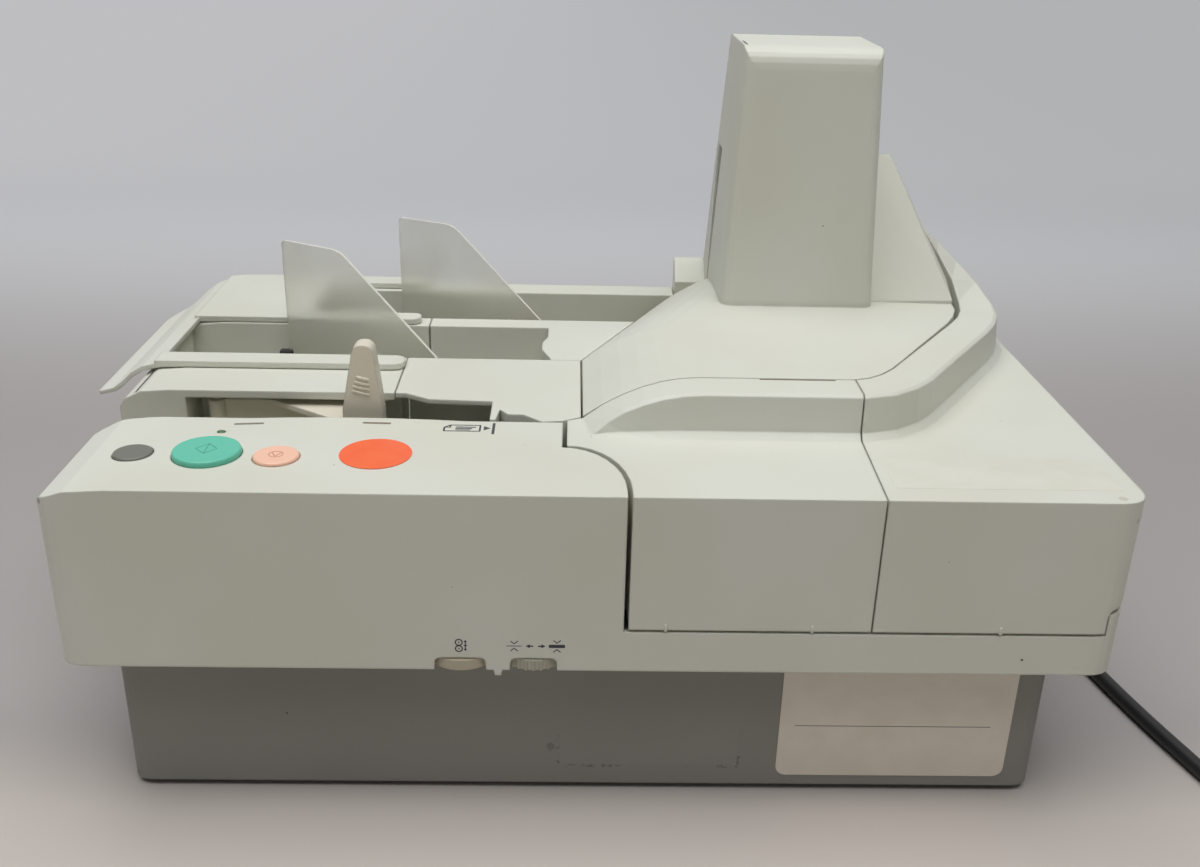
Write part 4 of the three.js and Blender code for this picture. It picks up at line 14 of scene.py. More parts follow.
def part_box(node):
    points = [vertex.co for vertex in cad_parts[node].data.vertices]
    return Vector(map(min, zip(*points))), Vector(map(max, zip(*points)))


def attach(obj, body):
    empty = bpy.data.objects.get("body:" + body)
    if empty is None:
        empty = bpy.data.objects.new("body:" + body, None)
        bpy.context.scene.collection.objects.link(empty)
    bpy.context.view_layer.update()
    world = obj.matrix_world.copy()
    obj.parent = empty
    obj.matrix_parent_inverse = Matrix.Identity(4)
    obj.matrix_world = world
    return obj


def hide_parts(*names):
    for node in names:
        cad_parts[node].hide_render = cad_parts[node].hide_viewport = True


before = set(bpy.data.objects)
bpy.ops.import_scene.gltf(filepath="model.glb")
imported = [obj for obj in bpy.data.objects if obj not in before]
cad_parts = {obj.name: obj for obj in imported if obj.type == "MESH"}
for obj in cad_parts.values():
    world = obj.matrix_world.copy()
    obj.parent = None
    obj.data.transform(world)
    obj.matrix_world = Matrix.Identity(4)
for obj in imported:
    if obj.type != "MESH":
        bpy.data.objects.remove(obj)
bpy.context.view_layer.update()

# %% [markdown]
# The model's origin is the middle of the box round the scanner, and the scanner was laid out from
# the front face of its housing. One function turns such a place, in millimetres, into metres here.
# Two more link a new object to the scene and make one piece the only selected one.

# %% Places on the scanner
ORIGIN_SHIFT = Vector((10.8, -150.3, 0.0))


def place(x, y, z=0.0):
    """A place in millimetres from the middle of the housing's front edge, as metres in the frame."""
    return (Vector((x, y, z)) + ORIGIN_SHIFT) / 1000


def added(name, data):
    """A new object that holds this data, linked to the scene."""
    piece = bpy.data.objects.new(name, data)
    bpy.context.scene.collection.objects.link(piece)
    return piece


def alone(piece):
    """Makes one piece the only selected one."""
    bpy.ops.object.select_all(action="DESELECT")
    piece.select_set(True)
    bpy.context.view_layer.objects.active = piece


print("the housing's front edge is at", [round(v, 4) for v in place(0.0, 0.0)])

# %% [markdown]
# The camera comes first, because the lead has to leave its view. It is held nearly half a metre in
# front of the scanner and 39 cm over the table, tips down by 23 degrees and leans by one and a half.

# %% Camera
CAMERA_PLACE = place(-11.54, -454.5, 386.99)
CAMERA_LENS = 37.03
TIPPED_DOWN = math.radians(23.433)
TURNED_RIGHT = math.radians(1.578)
LEANING = math.radians(1.45)

camera_data = bpy.data.cameras.new("camera")
camera_data.lens = CAMERA_LENS
camera_data.sensor_width = 36
camera_data.clip_start = 0.01
camera = added("camera", camera_data)
facing = Matrix.Rotation(-TURNED_RIGHT, 4, "Z") @ Matrix.Rotation(math.pi / 2 - TIPPED_DOWN, 4, "X")
camera.matrix_world = Matrix.Translation(CAMERA_PLACE) @ facing @ Matrix.Rotation(LEANING, 4, "Z")
bpy.context.scene.camera = camera
print("the camera looks along", [round(v, 3) for v in camera.matrix_world.to_3x3() @ Vector((0, 0, -1))])
print("its right is", [round(v, 4) for v in camera.matrix_world.to_3x3() @ Vector((1, 0, 0))])

# %% [markdown]
# The mains lead lies on the table in loose curves and ends in a coil. Its route is the one that the
# model uses: places listed where it runs free, joined by a smooth curve, then turns from a loop.

# %% Route of the lead
CORD_RADIUS = 4.0
CORD_LENGTH = 1800.0
COIL_PITCH = 8.9
LAYER_PITCH = 8.7
COIL_DIP = 3.0
TURNS_IN = 2
CLIMB_TURN = 0.5
LOOP_STEPS = 48
TOUCH_GAP = 0.3
ROUTE_STEPS = 8

CORD_ROUTE = [
    (150, 349.2, 34),
    (150, 358, 34),
    (150.6, 368, 32),
    (153, 379, 26.5),
    (158, 390, 18),
    (166, 400, 10),
    (177, 407, 5.2),
    (192, 410, 4.1),
    (211, 408, 4.1),
    (229, 400, 4.1),
    (244, 386, 4.1),
    (253, 367, 4.1),
    (257, 344, 4.1),
    (258, 314, 4.1),
    (259, 282, 4.1),
    (262, 240, 4.1),
    (267, 195, 4.1),
    (273, 150, 4.1),
    (280, 106, 4.1),
    (288, 68, 4.1),
    (297, 33, 4.1),
    (304.5, 6, 4.1),
    (311, -17, 4.1),
]


def smooth_line(corners, steps):
    """A centripetal Catmull-Rom curve through the corners, as a list of points."""
    corners = [Vector(c) for c in corners]
    ends = [2 * corners[0] - corners[1], *corners, 2 * corners[-1] - corners[-2]]
    line = []
    for a, b, c, d in zip(ends, ends[1:], ends[2:], ends[3:]):
        ab, bc, cd = ((q - p).length ** 0.5 for p, q in ((a, b), (b, c), (c, d)))
        leave = ((b - a) / ab - (c - a) / (ab + bc) + (c - b) / bc) * bc
        reach = ((c - b) / bc - (d - b) / (bc + cd) + (d - c) / cd) * bc
        for i in range(steps):
            t = i / steps
            start = 2 * t**3 - 3 * t**2 + 1
            line.append(
                start * b + (1 - start) * c + (t**3 - 2 * t**2 + t) * leave + (t**3 - t**2) * reach
            )
    return [*line, corners[-1]]


def length_of(line):
    """The length of a line of points."""
    return sum((q - p).length for p, q in zip(line, line[1:]))


def coil_line(stretch):
    """The coil: it spirals in, climbs a layer in the half turn where it reverses, and spirals out."""
    straight_end = CORD_RADIUS * 2
    turns = TURNS_IN + CLIMB_TURN + TURNS_IN
    mean = (CORD_LENGTH - length_of(stretch) - 2 * straight_end) / (turns * 2 * math.pi)
    heading = (stretch[-1] - stretch[-2]).normalized()
    side = Vector((-heading.y, heading.x, 0))
    start = stretch[-1] + heading * TOUCH_GAP
    outer = mean + COIL_PITCH * TURNS_IN / 2
    centre = start + heading * straight_end + side * outer
    first = math.atan2(-side.y, -side.x)
    line = []
    steps = int(LOOP_STEPS * turns)
    for i in range(steps + 1):
        turn = i / LOOP_STEPS
        climb = min(max((turn - TURNS_IN) / CLIMB_TURN, 0), 1)
        outwards = max(turn - TURNS_IN - CLIMB_TURN, 0)
        radius = outer - COIL_PITCH * (min(turn, TURNS_IN) - outwards) - COIL_DIP * math.sin(math.pi * climb)
        angle = first + turn * 2 * math.pi
        line.append(
            Vector((
                centre.x + radius * math.cos(angle),
                centre.y + radius * math.sin(angle),
                start.z + LAYER_PITCH * climb,
            ))
        )
    last = first + turns * 2 * math.pi
    leaving = Vector((-math.sin(last), math.cos(last), 0))
    return [*line, line[-1] + leaving * straight_end]


stretch_line = smooth_line(CORD_ROUTE, ROUTE_STEPS)
lead_line = [place(*p) for p in [*stretch_line, *coil_line(stretch_line)]]
print("the lead is", round(length_of(lead_line), 4), "m long along", len(lead_line), "points")

# %% [markdown]
# The lead starts as one open curve with a round bevel and is then made a mesh, so that its box is the
# box of its surface. It stands for both of the model's cord nodes.

# %% The lead
lead_curve = bpy.data.curves.new("mains_lead", "CURVE")
lead_curve.dimensions = "3D"
lead_curve.bevel_depth = CORD_RADIUS / 1000
lead_curve.bevel_resolution = 4
lead_curve.use_fill_caps = True
spline = lead_curve.splines.new("POLY")
spline.points.add(len(lead_line) - 1)
for point, spot in zip(spline.points, lead_line):
    point.co = (*spot, 1)
spline.use_smooth = True
lead = added("mains_lead", lead_curve)
alone(lead)
bpy.ops.object.convert(target="MESH")
bpy.ops.object.shade_smooth()
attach(lead, "housing")
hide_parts("mains_cord", "mains_cord_coil")
print("the lead leaves the connector at", [round(v, 4) for v in lead_line[0]])

# %% [markdown]
# Shader maths reads best as ordinary expressions. A small class wraps one output socket, so that
# noise * 0.3 + dust adds the Math nodes, and one method adds any other node.

# %% Shader expressions
class Value:
    """One socket of a node tree, with the arithmetic that the finishes use."""

    def __init__(self, shader, socket):
        self.shader = shader
        self.socket = socket

    def math(self, operation, *others, clamp=False):
        values = dict(enumerate([self, *others]))
        return self.shader.node("ShaderNodeMath", {"operation": operation, "use_clamp": clamp}, values)

    def __add__(self, other):
        return self.math("ADD", other)

    def __sub__(self, other):
        return self.math("SUBTRACT", other)

    def __mul__(self, other):
        return self.math("MULTIPLY", other)

    def __rsub__(self, other):
        return self.math("MULTIPLY_ADD", -1.0, other)

    def limited(self):
        """The value kept between 0 and 1."""
        return self.math("ADD", 0.0, clamp=True)

    def ramp(self, low, high):
        """0 below low, 1 above high and a smooth step between."""
        sockets = {"Value": self, "From Min": low, "From Max": high}
        return self.shader.node("ShaderNodeMapRange", {"interpolation_type": "SMOOTHSTEP"}, sockets)

    def within(self, middle, reach):
        """1 near the middle value and 0 beyond its reach."""
        return 1 - (self - middle).math("ABSOLUTE").ramp(reach * 0.6, reach)


class Shader:
    """The node tree of one finish."""

    def __init__(self, name):
        self.material = bpy.data.materials.new(name)
        self.material.use_nodes = True
        self.tree = self.material.node_tree
        self.surface = self.tree.nodes["Principled BSDF"]

    def node(self, kind, settings=None, sockets=None, output=0):
        """Adds a node, sets its settings, then fills its sockets with numbers or links."""
        made = self.tree.nodes.new(kind)
        for name, value in (settings or {}).items():
            setattr(made, name, value)
        for name, value in (sockets or {}).items():
            self.feed(made.inputs[name], value)
        return Value(self, made.outputs[output])

    def feed(self, socket, value):
        """Links a value to a socket, or sets the socket to a plain number or colour."""
        if isinstance(value, Value):
            self.tree.links.new(value.socket, socket)
        else:
            socket.default_value = value

    def set(self, **values):
        """Fills sockets of the surface: base_color is Base Color."""
        for name, value in values.items():
            self.feed(self.surface.inputs[name.replace("_", " ").title().replace("Ior", "IOR")], value)

    def where(self):
        """The place on the piece, in metres of the frame."""
        return self.node("ShaderNodeTexCoord", output="Object")

    def noise(self, size, detail=2.0, stretch=None, roughness=0.5):
        """Noise whose patches are about size metres across."""
        at = self.where()
        if stretch:
            at = self.node("ShaderNodeVectorMath", {"operation": "MULTIPLY"}, {0: at, 1: stretch})
        sockets = {"Vector": at, "Scale": 1 / size, "Detail": detail, "Roughness": roughness}
        return self.node("ShaderNodeTexNoise", {}, sockets)

    def apart(self):
        """The three coordinates of the place, each as a value."""
        split = self.tree.nodes.new("ShaderNodeSeparateXYZ")
        self.feed(split.inputs["Vector"], self.where())
        return [Value(self, socket) for socket in split.outputs]

    def near(self, spot, reach, ragged=0.5):
        """1 on a ragged patch round a spot of the frame and 0 outside it. Reach is one size or three."""
        sizes = reach if isinstance(reach, tuple) else (reach, reach, reach)
        scale = Vector([1 / size for size in sizes])
        at = self.node("ShaderNodeVectorMath", {"operation": "MULTIPLY"}, {0: self.where(), 1: scale})
        ends = {0: at, 1: spot * scale}
        gap = self.node("ShaderNodeVectorMath", {"operation": "DISTANCE"}, ends, output="Value")
        return 1 - (gap + self.noise(min(sizes) * 0.7, detail=4.0) * ragged).ramp(0.75, 1.0)

    def blend(self, factor, one, other):
        """A colour between one and other."""
        settings = {"data_type": "RGBA"}
        return self.node("ShaderNodeMix", settings, {0: factor, 6: one, 7: other}, output=2)

    def bump(self, height, depth, under=None):
        """A normal for a surface whose height varies by depth metres."""
        sockets = {"Height": height, "Distance": depth}
        if under is not None:
            sockets["Normal"] = under
        return self.node("ShaderNodeBump", {}, sockets)

    def rounded(self, radius, samples=6):
        """A normal that rounds the edges in the shading."""
        return self.node("ShaderNodeBevel", {"samples": samples}, {"Radius": radius})

    def mix_in(self, share, other):
        """Mixes another surface with this one, by a share from 0 to 1."""
        own = Value(self, self.surface.outputs["BSDF"])
        mixed = self.node("ShaderNodeMixShader", {}, {"Fac": share, 1: own, 2: other})
        self.feed(self.tree.nodes["Material Output"].inputs["Surface"], mixed)


def linear(red, green, blue):
    """A colour as seen on a screen, 0 to 255, as the shader's own linear numbers."""
    shares = [c / 255 for c in (red, green, blue)]
    return (*[c / 12.92 if c <= 0.04045 else ((c + 0.055) / 1.055) ** 2.4 for c in shares], 1.0)


CREAM = (221, 222, 211)
OLD_CREAM = (213, 212, 195)
print("cream is", [round(c, 3) for c in linear(*CREAM)])

# %% [markdown]
# The covers are cream office plastic, moulded with a fine spark-eroded grain that takes the shine
# off. Years on a counter have yellowed it a little, unevenly. Corners take painted shade and grey dust.
# The grain is bump only, because it is far too fine to model. The bevel node rounds the edges in the
# shading, as a mould does, without a change to the solids.

# %% Moulded plastic
GRAIN_DEPTH = 0.00001
DRIFT_SHARE = 0.5
PLASTIC_IOR = 1.48


def aged(shader, colour, old, dust_and_shade):
    """Colour that has drifted in broad patches, with painted shade and dust where the piece is hollow."""
    drift = shader.noise(0.09, detail=3.0).ramp(0.35, 0.7)
    shade = shader.blend(drift * DRIFT_SHARE, linear(*colour), linear(*old))
    # Painted shade and dust: occlusion darkens the hollows, broken up by patches of dust.
    hollow_shade = 1 - shader.node(
        "ShaderNodeAmbientOcclusion", {"samples": 6, "only_local": True}, {"Distance": 0.004}, output=1
    )
    patches = shader.noise(0.012, detail=4.0).ramp(0.3, 0.75)
    return shader.blend((hollow_shade * (patches * 0.6 + 0.4)).limited() * 0.55, shade, linear(*dust_and_shade))


def moulded(name, colour, old, grain=0.0007, rough=0.46, edge=0.0014, dust_and_shade=(120, 114, 100), scars_and_highlights=()):
    """Moulded plastic: grain, drifted colour, painted shade and dust in corners, edges that catch the light,
    scars and a painted highlight.
    """
    shader = Shader(name)
    skin = shader.noise(grain, detail=3.0, roughness=0.6)
    handled = shader.noise(0.05, detail=3.0).ramp(0.4, 0.8)
    shade = aged(shader, colour, old, dust_and_shade)
    # Scars are stains of wear. The tower's list also holds one painted highlight.
    for spot, reach, stain_and_highlight, strength in scars_and_highlights:
        shade = shader.blend(shader.near(spot, reach) * strength, shade, linear(*stain_and_highlight))
    shader.set(
        base_color=shade,
        roughness=handled * -0.08 + (skin * 0.1 + (rough - 0.02)),
        normal=shader.bump(skin, GRAIN_DEPTH, shader.rounded(edge)),
        ior=PLASTIC_IOR,
    )
    return shader.material


# Two knocks on the front cover's left end, a dark nick on its lower rim, two specks on its deck and
# one on its front
FRONT_SCARS = [
    (place(-230.0, 3.5, 155.0), 0.0032, (150, 140, 128), 0.7),
    (place(-228.5, 1.0, 150.5), 0.0018, (120, 110, 100), 0.6),
    (place(188.9, 0.0, 84.4), 0.0009, (58, 54, 50), 0.95),
    (place(-112.0, 28.0, 161.4), 0.0006, (120, 112, 100), 0.7),
    (place(-31.0, 52.0, 161.4), 0.0005, (130, 120, 108), 0.6),
    (place(-60.0, 0.0, 118.0), 0.0005, (110, 104, 96), 0.5),
]
# Two soft knocks on the right front corner, a speck on top and one on the front
COVER_SCARS = [
    (place(221.0, 5.0, 161.0), 0.0032, (168, 158, 142), 0.4),
    (place(228.0, 3.0, 152.0), 0.002, (176, 167, 152), 0.35),
    (place(196.0, 88.0, 161.4), 0.0006, (140, 128, 112), 0.7),
    (place(150.0, 0.0, 133.0), 0.0005, (120, 112, 100), 0.5),
]
# A dark line along the top's left edge, a painted highlight on the corner below it and a speck at the foot
# of the front
TOWER_SCARS_AND_HIGHLIGHT = [
    (place(77.9, 219.0, 319.5), (0.0012, 0.016, 0.002), (66, 66, 62), 0.9),
    # painted highlight where the top's corner catches the light
    (place(76.2, 205.5, 318.6), 0.0011, (246, 246, 240), 0.6),
    (place(124.0, 199.0, 227.6), 0.0007, (122, 118, 106), 0.7),
]

cream = moulded("cream_covers", CREAM, OLD_CREAM)
front_cream = moulded("front_cover_cream", CREAM, OLD_CREAM, scars_and_highlights=FRONT_SCARS)
side_cream = moulded("side_cover_cream", CREAM, OLD_CREAM, scars_and_highlights=COVER_SCARS)
tower_cream = moulded("tower_cream", CREAM, OLD_CREAM, scars_and_highlights=TOWER_SCARS_AND_HIGHLIGHT)
seat_cream = moulded("lamp_seat_cream", CREAM, OLD_CREAM, edge=0.00005)
tab_cream = moulded("tab_plastic", (225, 219, 202), (217, 210, 190), grain=0.0009, rough=0.42)
black_plastic = moulded("black_plastic", (30, 30, 31), (38, 37, 36), rough=0.44, dust_and_shade=(70, 66, 60))
key_grey = moulded("jog_key_grey", (118, 118, 110), (110, 110, 102), edge=0.0006, rough=0.4)
dial_beige = moulded("dial_beige", (190, 182, 160), (178, 168, 144), edge=0.0006, rough=0.42)
dial_grey = moulded("dial_grey", (182, 181, 164), (170, 168, 150), edge=0.0004, rough=0.42)
teal = moulded("start_key_teal", (104, 202, 176), (98, 192, 166), edge=0.0006, rough=0.38)
pink = moulded("stop_key_pink", (252, 203, 177), (246, 194, 166), edge=0.0006, rough=0.38)
print("plastics:", cream.name, front_cream.name, side_cream.name, teal.name, pink.name)

# %% [markdown]
# The base is grey, with a coarser grain. A film was once stuck on its front and pulled off: a pale
# rectangle is left that fades out upwards, with a broken line of dirt along the glue at its edges. It
# is drawn from the distances to that rectangle's sides, because it follows no shape of the base.

# %% The grey base
GHOST_LEFT, GHOST_RIGHT = -14.0, 70.0
GHOST_LOW = 13.6
GHOST_HIGH = 52.0
BASE_GRAIN_DEPTH = 0.00002


def base_finish():
    shader = Shader("base_grey")
    x, y, z = shader.apart()
    middle = place((GHOST_LEFT + GHOST_RIGHT) / 2, 0.0).x
    across = (x - middle).math("ABSOLUTE") - (GHOST_RIGHT - GHOST_LEFT) / 2000
    under = GHOST_LOW / 1000 - z
    outside = across.math("MAXIMUM", under)
    front = 1 - y.ramp(place(0.0, 16.0).y, place(0.0, 17.0).y)
    fades = 1 - z.ramp(GHOST_LOW / 1000 + 0.004, GHOST_HIGH / 1000 - 0.012)
    inside = (1 - outside.ramp(-0.0008, 0.0)) * front * fades
    dirt = shader.noise(0.0022, detail=5.0).ramp(0.5, 0.66) * outside.within(0.0004, 0.0011) * front * fades
    broken = shader.noise(0.02, detail=2.0).ramp(0.42, 0.6)
    smear = shader.near(place(-18.0, 15.4, 24.0), 0.005, ragged=0.9) * shader.noise(0.0014, detail=4.0)
    nick = shader.near(place(-138.7, 15.4, 41.6), 0.0009)
    skin = shader.noise(0.0011, detail=3.0, roughness=0.6)
    shade = aged(shader, (144, 143, 137), (137, 136, 130), (104, 100, 92))
    shade = shader.blend(inside * 0.14, shade, linear(158, 157, 151))
    shade = shader.blend(dirt * broken * 0.5, shade, linear(58, 56, 52))
    shade = shader.blend((smear + nick).limited() * 0.7, shade, linear(62, 60, 56))
    shader.set(
        base_color=shade,
        roughness=inside * -0.08 + (skin * 0.12 + 0.48),
        normal=shader.bump(skin, BASE_GRAIN_DEPTH, shader.rounded(0.0009)),
        ior=PLASTIC_IOR,
    )
    return shader.material


slate = base_finish()
print("base:", slate.name)

# %% [markdown]
# Rubber tyres, turned steel shafts and zinc plate are mostly hidden, but they show when the cover
# is open. The rubber is matt and dusty with paper lint, and the metals carry the marks of their tools.

# %% Rubber and metals
def rubber_finish():
    shader = Shader("roller_rubber")
    lint = shader.noise(0.004, detail=5.0).ramp(0.45, 0.8)
    skin = shader.noise(0.0005, detail=2.0)
    shader.set(
        base_color=shader.blend(lint * 0.45, linear(44, 43, 42), linear(104, 100, 95)),
        roughness=lint * 0.1 + 0.72,
        normal=shader.bump(skin, 0.00003),
    )
    return shader.material


def metal_finish(name, colour, spots, rough, stretch):
    shader = Shader(name)
    marks = shader.noise(0.0012, detail=4.0, stretch=stretch)
    cloudy = shader.noise(spots, detail=4.0).ramp(0.35, 0.75)
    dull = tuple(c * 0.86 for c in colour)
    shader.set(
        base_color=shader.blend(cloudy, linear(*colour), linear(*dull)),
        metallic=cloudy * -0.15 + 1.0,
        roughness=marks * 0.18 + (cloudy * 0.08 + rough),
        normal=shader.bump(marks, 0.000012, shader.rounded(0.0004, samples=4)),
    )
    return shader.material


rubber = rubber_finish()
steel = metal_finish("turned_steel", (196, 197, 199), 0.01, 0.22, (1.0, 1.0, 14.0))
zinc = metal_finish("zinc_plate", (188, 190, 184), 0.018, 0.34, (3.0, 1.0, 1.0))
print("rubber and metals:", rubber.name, steel.name, zinc.name)

# %% [markdown]
# The two pocket guides are frosted clear plastic, about as thick as a ruler. Light comes through
# them without a clear image, so they are a rough transmitting surface. Their cut rims glow, because
# light that is caught in the sheet leaves there; that glow is painted, as a pale opaque surface mixed
# in on the rims. Four faint level scratches cross them.

# %% Frosted plastic, lamp, glass, board and film
GUIDE_LINES = {0.1898: 0.5, 0.1785: 0.8, 0.169: 1.0, 0.151: 0.7}


def frosted_finish():
    shader = Shader("frosted_guide")
    z = shader.apart()[2]
    cloud = shader.noise(0.03, detail=2.0).ramp(0.3, 0.75)
    lines = 0.0
    for height, strength in GUIDE_LINES.items():
        lines = z.within(height, 0.00045) * strength + lines
    lines = lines * shader.noise(0.03, detail=1.0).ramp(0.35, 0.6)
    facing = shader.node("ShaderNodeTexCoord", output="Normal")
    up = shader.node("ShaderNodeSeparateXYZ", {}, {"Vector": facing}, output="Z")
    # Painted glow: the faces that face up or down, the cut rims, get the pale surface.
    rim = up.math("ABSOLUTE").ramp(0.2, 0.5)
    shader.set(
        base_color=shader.blend(cloud, linear(248, 248, 242), linear(240, 239, 230)),
        roughness=cloud * 0.04 + 0.3,
        transmission_weight=0.86,
        ior=1.45,
    )
    pale = {"Base Color": linear(246, 244, 232), "Roughness": 0.35}
    # The pale surface paints the rims' glow and gives the scratches their paler look.
    bright = shader.node("ShaderNodeBsdfPrincipled", {}, pale)
    shader.mix_in((rim * 0.75 + lines * 0.22).limited(), bright)
    return shader.material


def lamp_finish():
    shader = Shader("status_lamp_green")
    swirl = shader.noise(0.0008, detail=2.0)
    shader.set(
        base_color=shader.blend(swirl, linear(58, 112, 36), linear(40, 88, 26)),
        roughness=swirl * 0.1 + 0.16,
        normal=shader.bump(swirl, 0.00002),
        coat_weight=0.6,
    )
    return shader.material


def glass_finish():
    shader = Shader("sensor_window")
    smear = shader.noise(0.01, detail=4.0).ramp(0.4, 0.8)
    shader.set(
        base_color=shader.blend(smear * 0.3, linear(26, 32, 36), linear(70, 74, 76)),
        roughness=smear * 0.2 + 0.05,
        normal=shader.bump(smear, 0.00001),
    )
    return shader.material


def board_finish():
    shader = Shader("circuit_board")
    tracks = shader.node(
        "ShaderNodeTexVoronoi",
        {"feature": "DISTANCE_TO_EDGE", "distance": "CHEBYCHEV"},
        {"Vector": shader.where(), "Scale": 160.0},
    )
    copper = 1 - tracks.ramp(0.02, 0.09)
    shader.set(
        base_color=shader.blend(copper * 0.5, linear(38, 92, 52), linear(88, 140, 84)),
        roughness=copper * 0.1 + 0.34,
        normal=shader.bump(copper, 0.00003),
    )
    return shader.material


def film_finish(name, colour, faded, rough):
    """Printed or plain adhesive film, with a slight ripple where it was rubbed down."""
    shader = Shader(name)
    fade = shader.noise(0.014, detail=3.0).ramp(0.3, 0.75)
    ripple = shader.noise(0.006, detail=2.0)
    shader.set(
        base_color=shader.blend(fade, linear(*colour), linear(*faded)),
        roughness=fade * 0.12 + rough,
        normal=shader.bump(ripple, 0.00006),
        coat_weight=0.25,
    )
    return shader.material


frosted = frosted_finish()
lamp_green = lamp_finish()
sensor_glass = glass_finish()
circuit_green = board_finish()
orange_film = film_finish("round_sticker_orange", (255, 112, 60), (253, 104, 54), 0.42)
label_film = film_finish("blank_label_white", (236, 228, 214), (230, 222, 206), 0.42)
clear_film = film_finish("clear_strip", (224, 224, 211), (219, 219, 204), 0.3)
print("clear and printed finishes:", frosted.name, lamp_green.name, orange_film.name, label_film.name)

# %% [markdown]
# Each solid of the model keeps its shape, and each one listed gets the finish of its real piece.

# %% Finishes on the model's own solids
FINISHES = {
    front_cream: ["front_cover"],
    side_cream: ["front_door_cover", "right_side_cover"],
    cream: ["stacker_housing", "feed_deck", "exit_deck", "rear_cover", "left_hood", "side_guide"],
    tower_cream: ["inner_unit_cover"],
    tab_cream: ["pusher", "sorter_flapper"],
    dial_beige: ["roller_dial"],
    dial_grey: ["thickness_dial"],
    slate: ["base_tray"],
    black_plastic: [
        "feed_motor",
        "drive_belt",
        "ink_cartridge",
        "fan_frame",
        "fan_rotor",
        "mains_inlet",
        "power_rocker",
        "mains_connector",
        "mains_plug",
    ],
    rubber: [
        "foot_1",
        "foot_2",
        "foot_3",
        "foot_4",
        "feed_roller",
        "separation_roller",
        "drive_roller_1",
        "drive_roller_2",
        "pinch_roller_1",
        "pinch_roller_2",
    ],
    steel: ["main_motor", "motor_pulley", "magnetic_head", "hinge_pin_front", "hinge_pin_rear"],
    zinc: ["chassis_plate", "cover_strap", "data_port"],
    circuit_green: ["key_switch_board", "power_supply_board", "control_board"],
    frosted: ["pocket_guide_1", "pocket_guide_2"],
    teal: ["start_key"],
    pink: ["stop_key"],
    key_grey: ["jog_key"],
    orange_film: ["round_sticker"],
    sensor_glass: ["image_sensor_front", "image_sensor_back"],
}

for finish, names in FINISHES.items():
    for name in names:
        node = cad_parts[name]
        node.data.materials.clear()
        node.data.materials.append(finish)
lead.data.materials.append(black_plastic)
plain = set(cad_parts) - {n for names in FINISHES.values() for n in names}
print("solids without a finish of their own:", sorted(plain))

# %% [markdown]
# Small pieces are modelled by hand in millimetres round the origin, where their sizes are easy to
# read, and put in their place when they are finished. Helpers do the steps that all share: opening a
# piece in edit mode, pressing it to a size, picking faces by a test, settling it and fitting it out.

# %% Modelling steps
SMOOTH_UNDER = math.radians(40)
FACING_FRONT = (math.pi / 2, 0.0, 0.0)


def open_piece():
    """Opens the piece that was just added in edit mode, with nothing picked."""
    piece = bpy.context.active_object
    bpy.ops.object.mode_set(mode="EDIT")
    bpy.ops.mesh.select_mode(type="FACE")
    bpy.ops.mesh.select_all(action="DESELECT")
    return piece


def open_pressed(size):
    """Opens the piece that was just added and presses it to a size, with all of it picked."""
    piece = open_piece()
    bpy.ops.mesh.select_all(action="SELECT")
    bpy.ops.transform.resize(value=size)
    return piece


def pick(piece, wanted):
    """Picks the faces for which wanted(middle, normal) is true."""
    form = bmesh.from_edit_mesh(piece.data)
    for face in form.faces:
        face.select_set(wanted(face.calc_center_median(), face.normal))
    bmesh.update_edit_mesh(piece.data)


def settle(piece, name, at, turn=(0.0, 0.0, 0.0)):
    """Closes a piece, names it and applies its place, turn and the step from millimetres to metres."""
    bpy.ops.object.mode_set(mode="OBJECT")
    alone(piece)
    piece.name = name
    piece.data.name = name
    piece.scale = (0.001, 0.001, 0.001)
    piece.rotation_euler = turn
    piece.location = at
    bpy.ops.object.transform_apply(location=True, rotation=True, scale=True)
    bpy.ops.object.shade_smooth_by_angle(angle=SMOOTH_UNDER)
    return piece


def fit_out(piece, body, finish):
    """Gives a piece its finish and the body that it moves with."""
    piece.data.materials.clear()
    piece.data.materials.append(finish)
    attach(piece, body)


print("helpers for small pieces are ready")

# %% [markdown]
# Marks are pad-printed: a film of ink a few hundredths of a millimetre thick lies on the plastic.
# They could be painted in the shader, but outlines stay sharp at any size when they are real pieces,
# so each stroke is a thin bar with rounded corners, and the strokes of one mark are joined.

# %% Strokes of ink
INK_HEIGHT = 0.06
INK_SUNK = 0.02


def close_ink():
    """Gives the open flat face its thickness and turns its faces outwards."""
    bpy.ops.mesh.select_all(action="SELECT")
    bpy.ops.mesh.extrude_region_move(TRANSFORM_OT_translate={"value": (0.0, 0.0, INK_HEIGHT)})
    bpy.ops.mesh.select_all(action="SELECT")
    bpy.ops.mesh.normals_make_consistent(inside=False)
    bpy.ops.object.mode_set(mode="OBJECT")


def stroke(start, end, width):
    """A bar of ink between two places of the mark's own flat map."""
    run = Vector(end) - Vector(start)
    middle = (Vector(start) + Vector(end)) / 2
    bpy.ops.mesh.primitive_plane_add(size=1.0)
    bar = open_pressed((run.length + width * 0.4, width, 1.0))
    bpy.ops.mesh.bevel(offset=width * 0.3, segments=2, affect="VERTICES")
    close_ink()
    bar.rotation_euler.z = math.atan2(run.y, run.x)
    bar.location = (middle.x, middle.y, 0.0)
    return bar


def path(corners, width):
    """Strokes from corner to corner."""
    return [stroke(a, b, width) for a, b in zip(corners, corners[1:])]


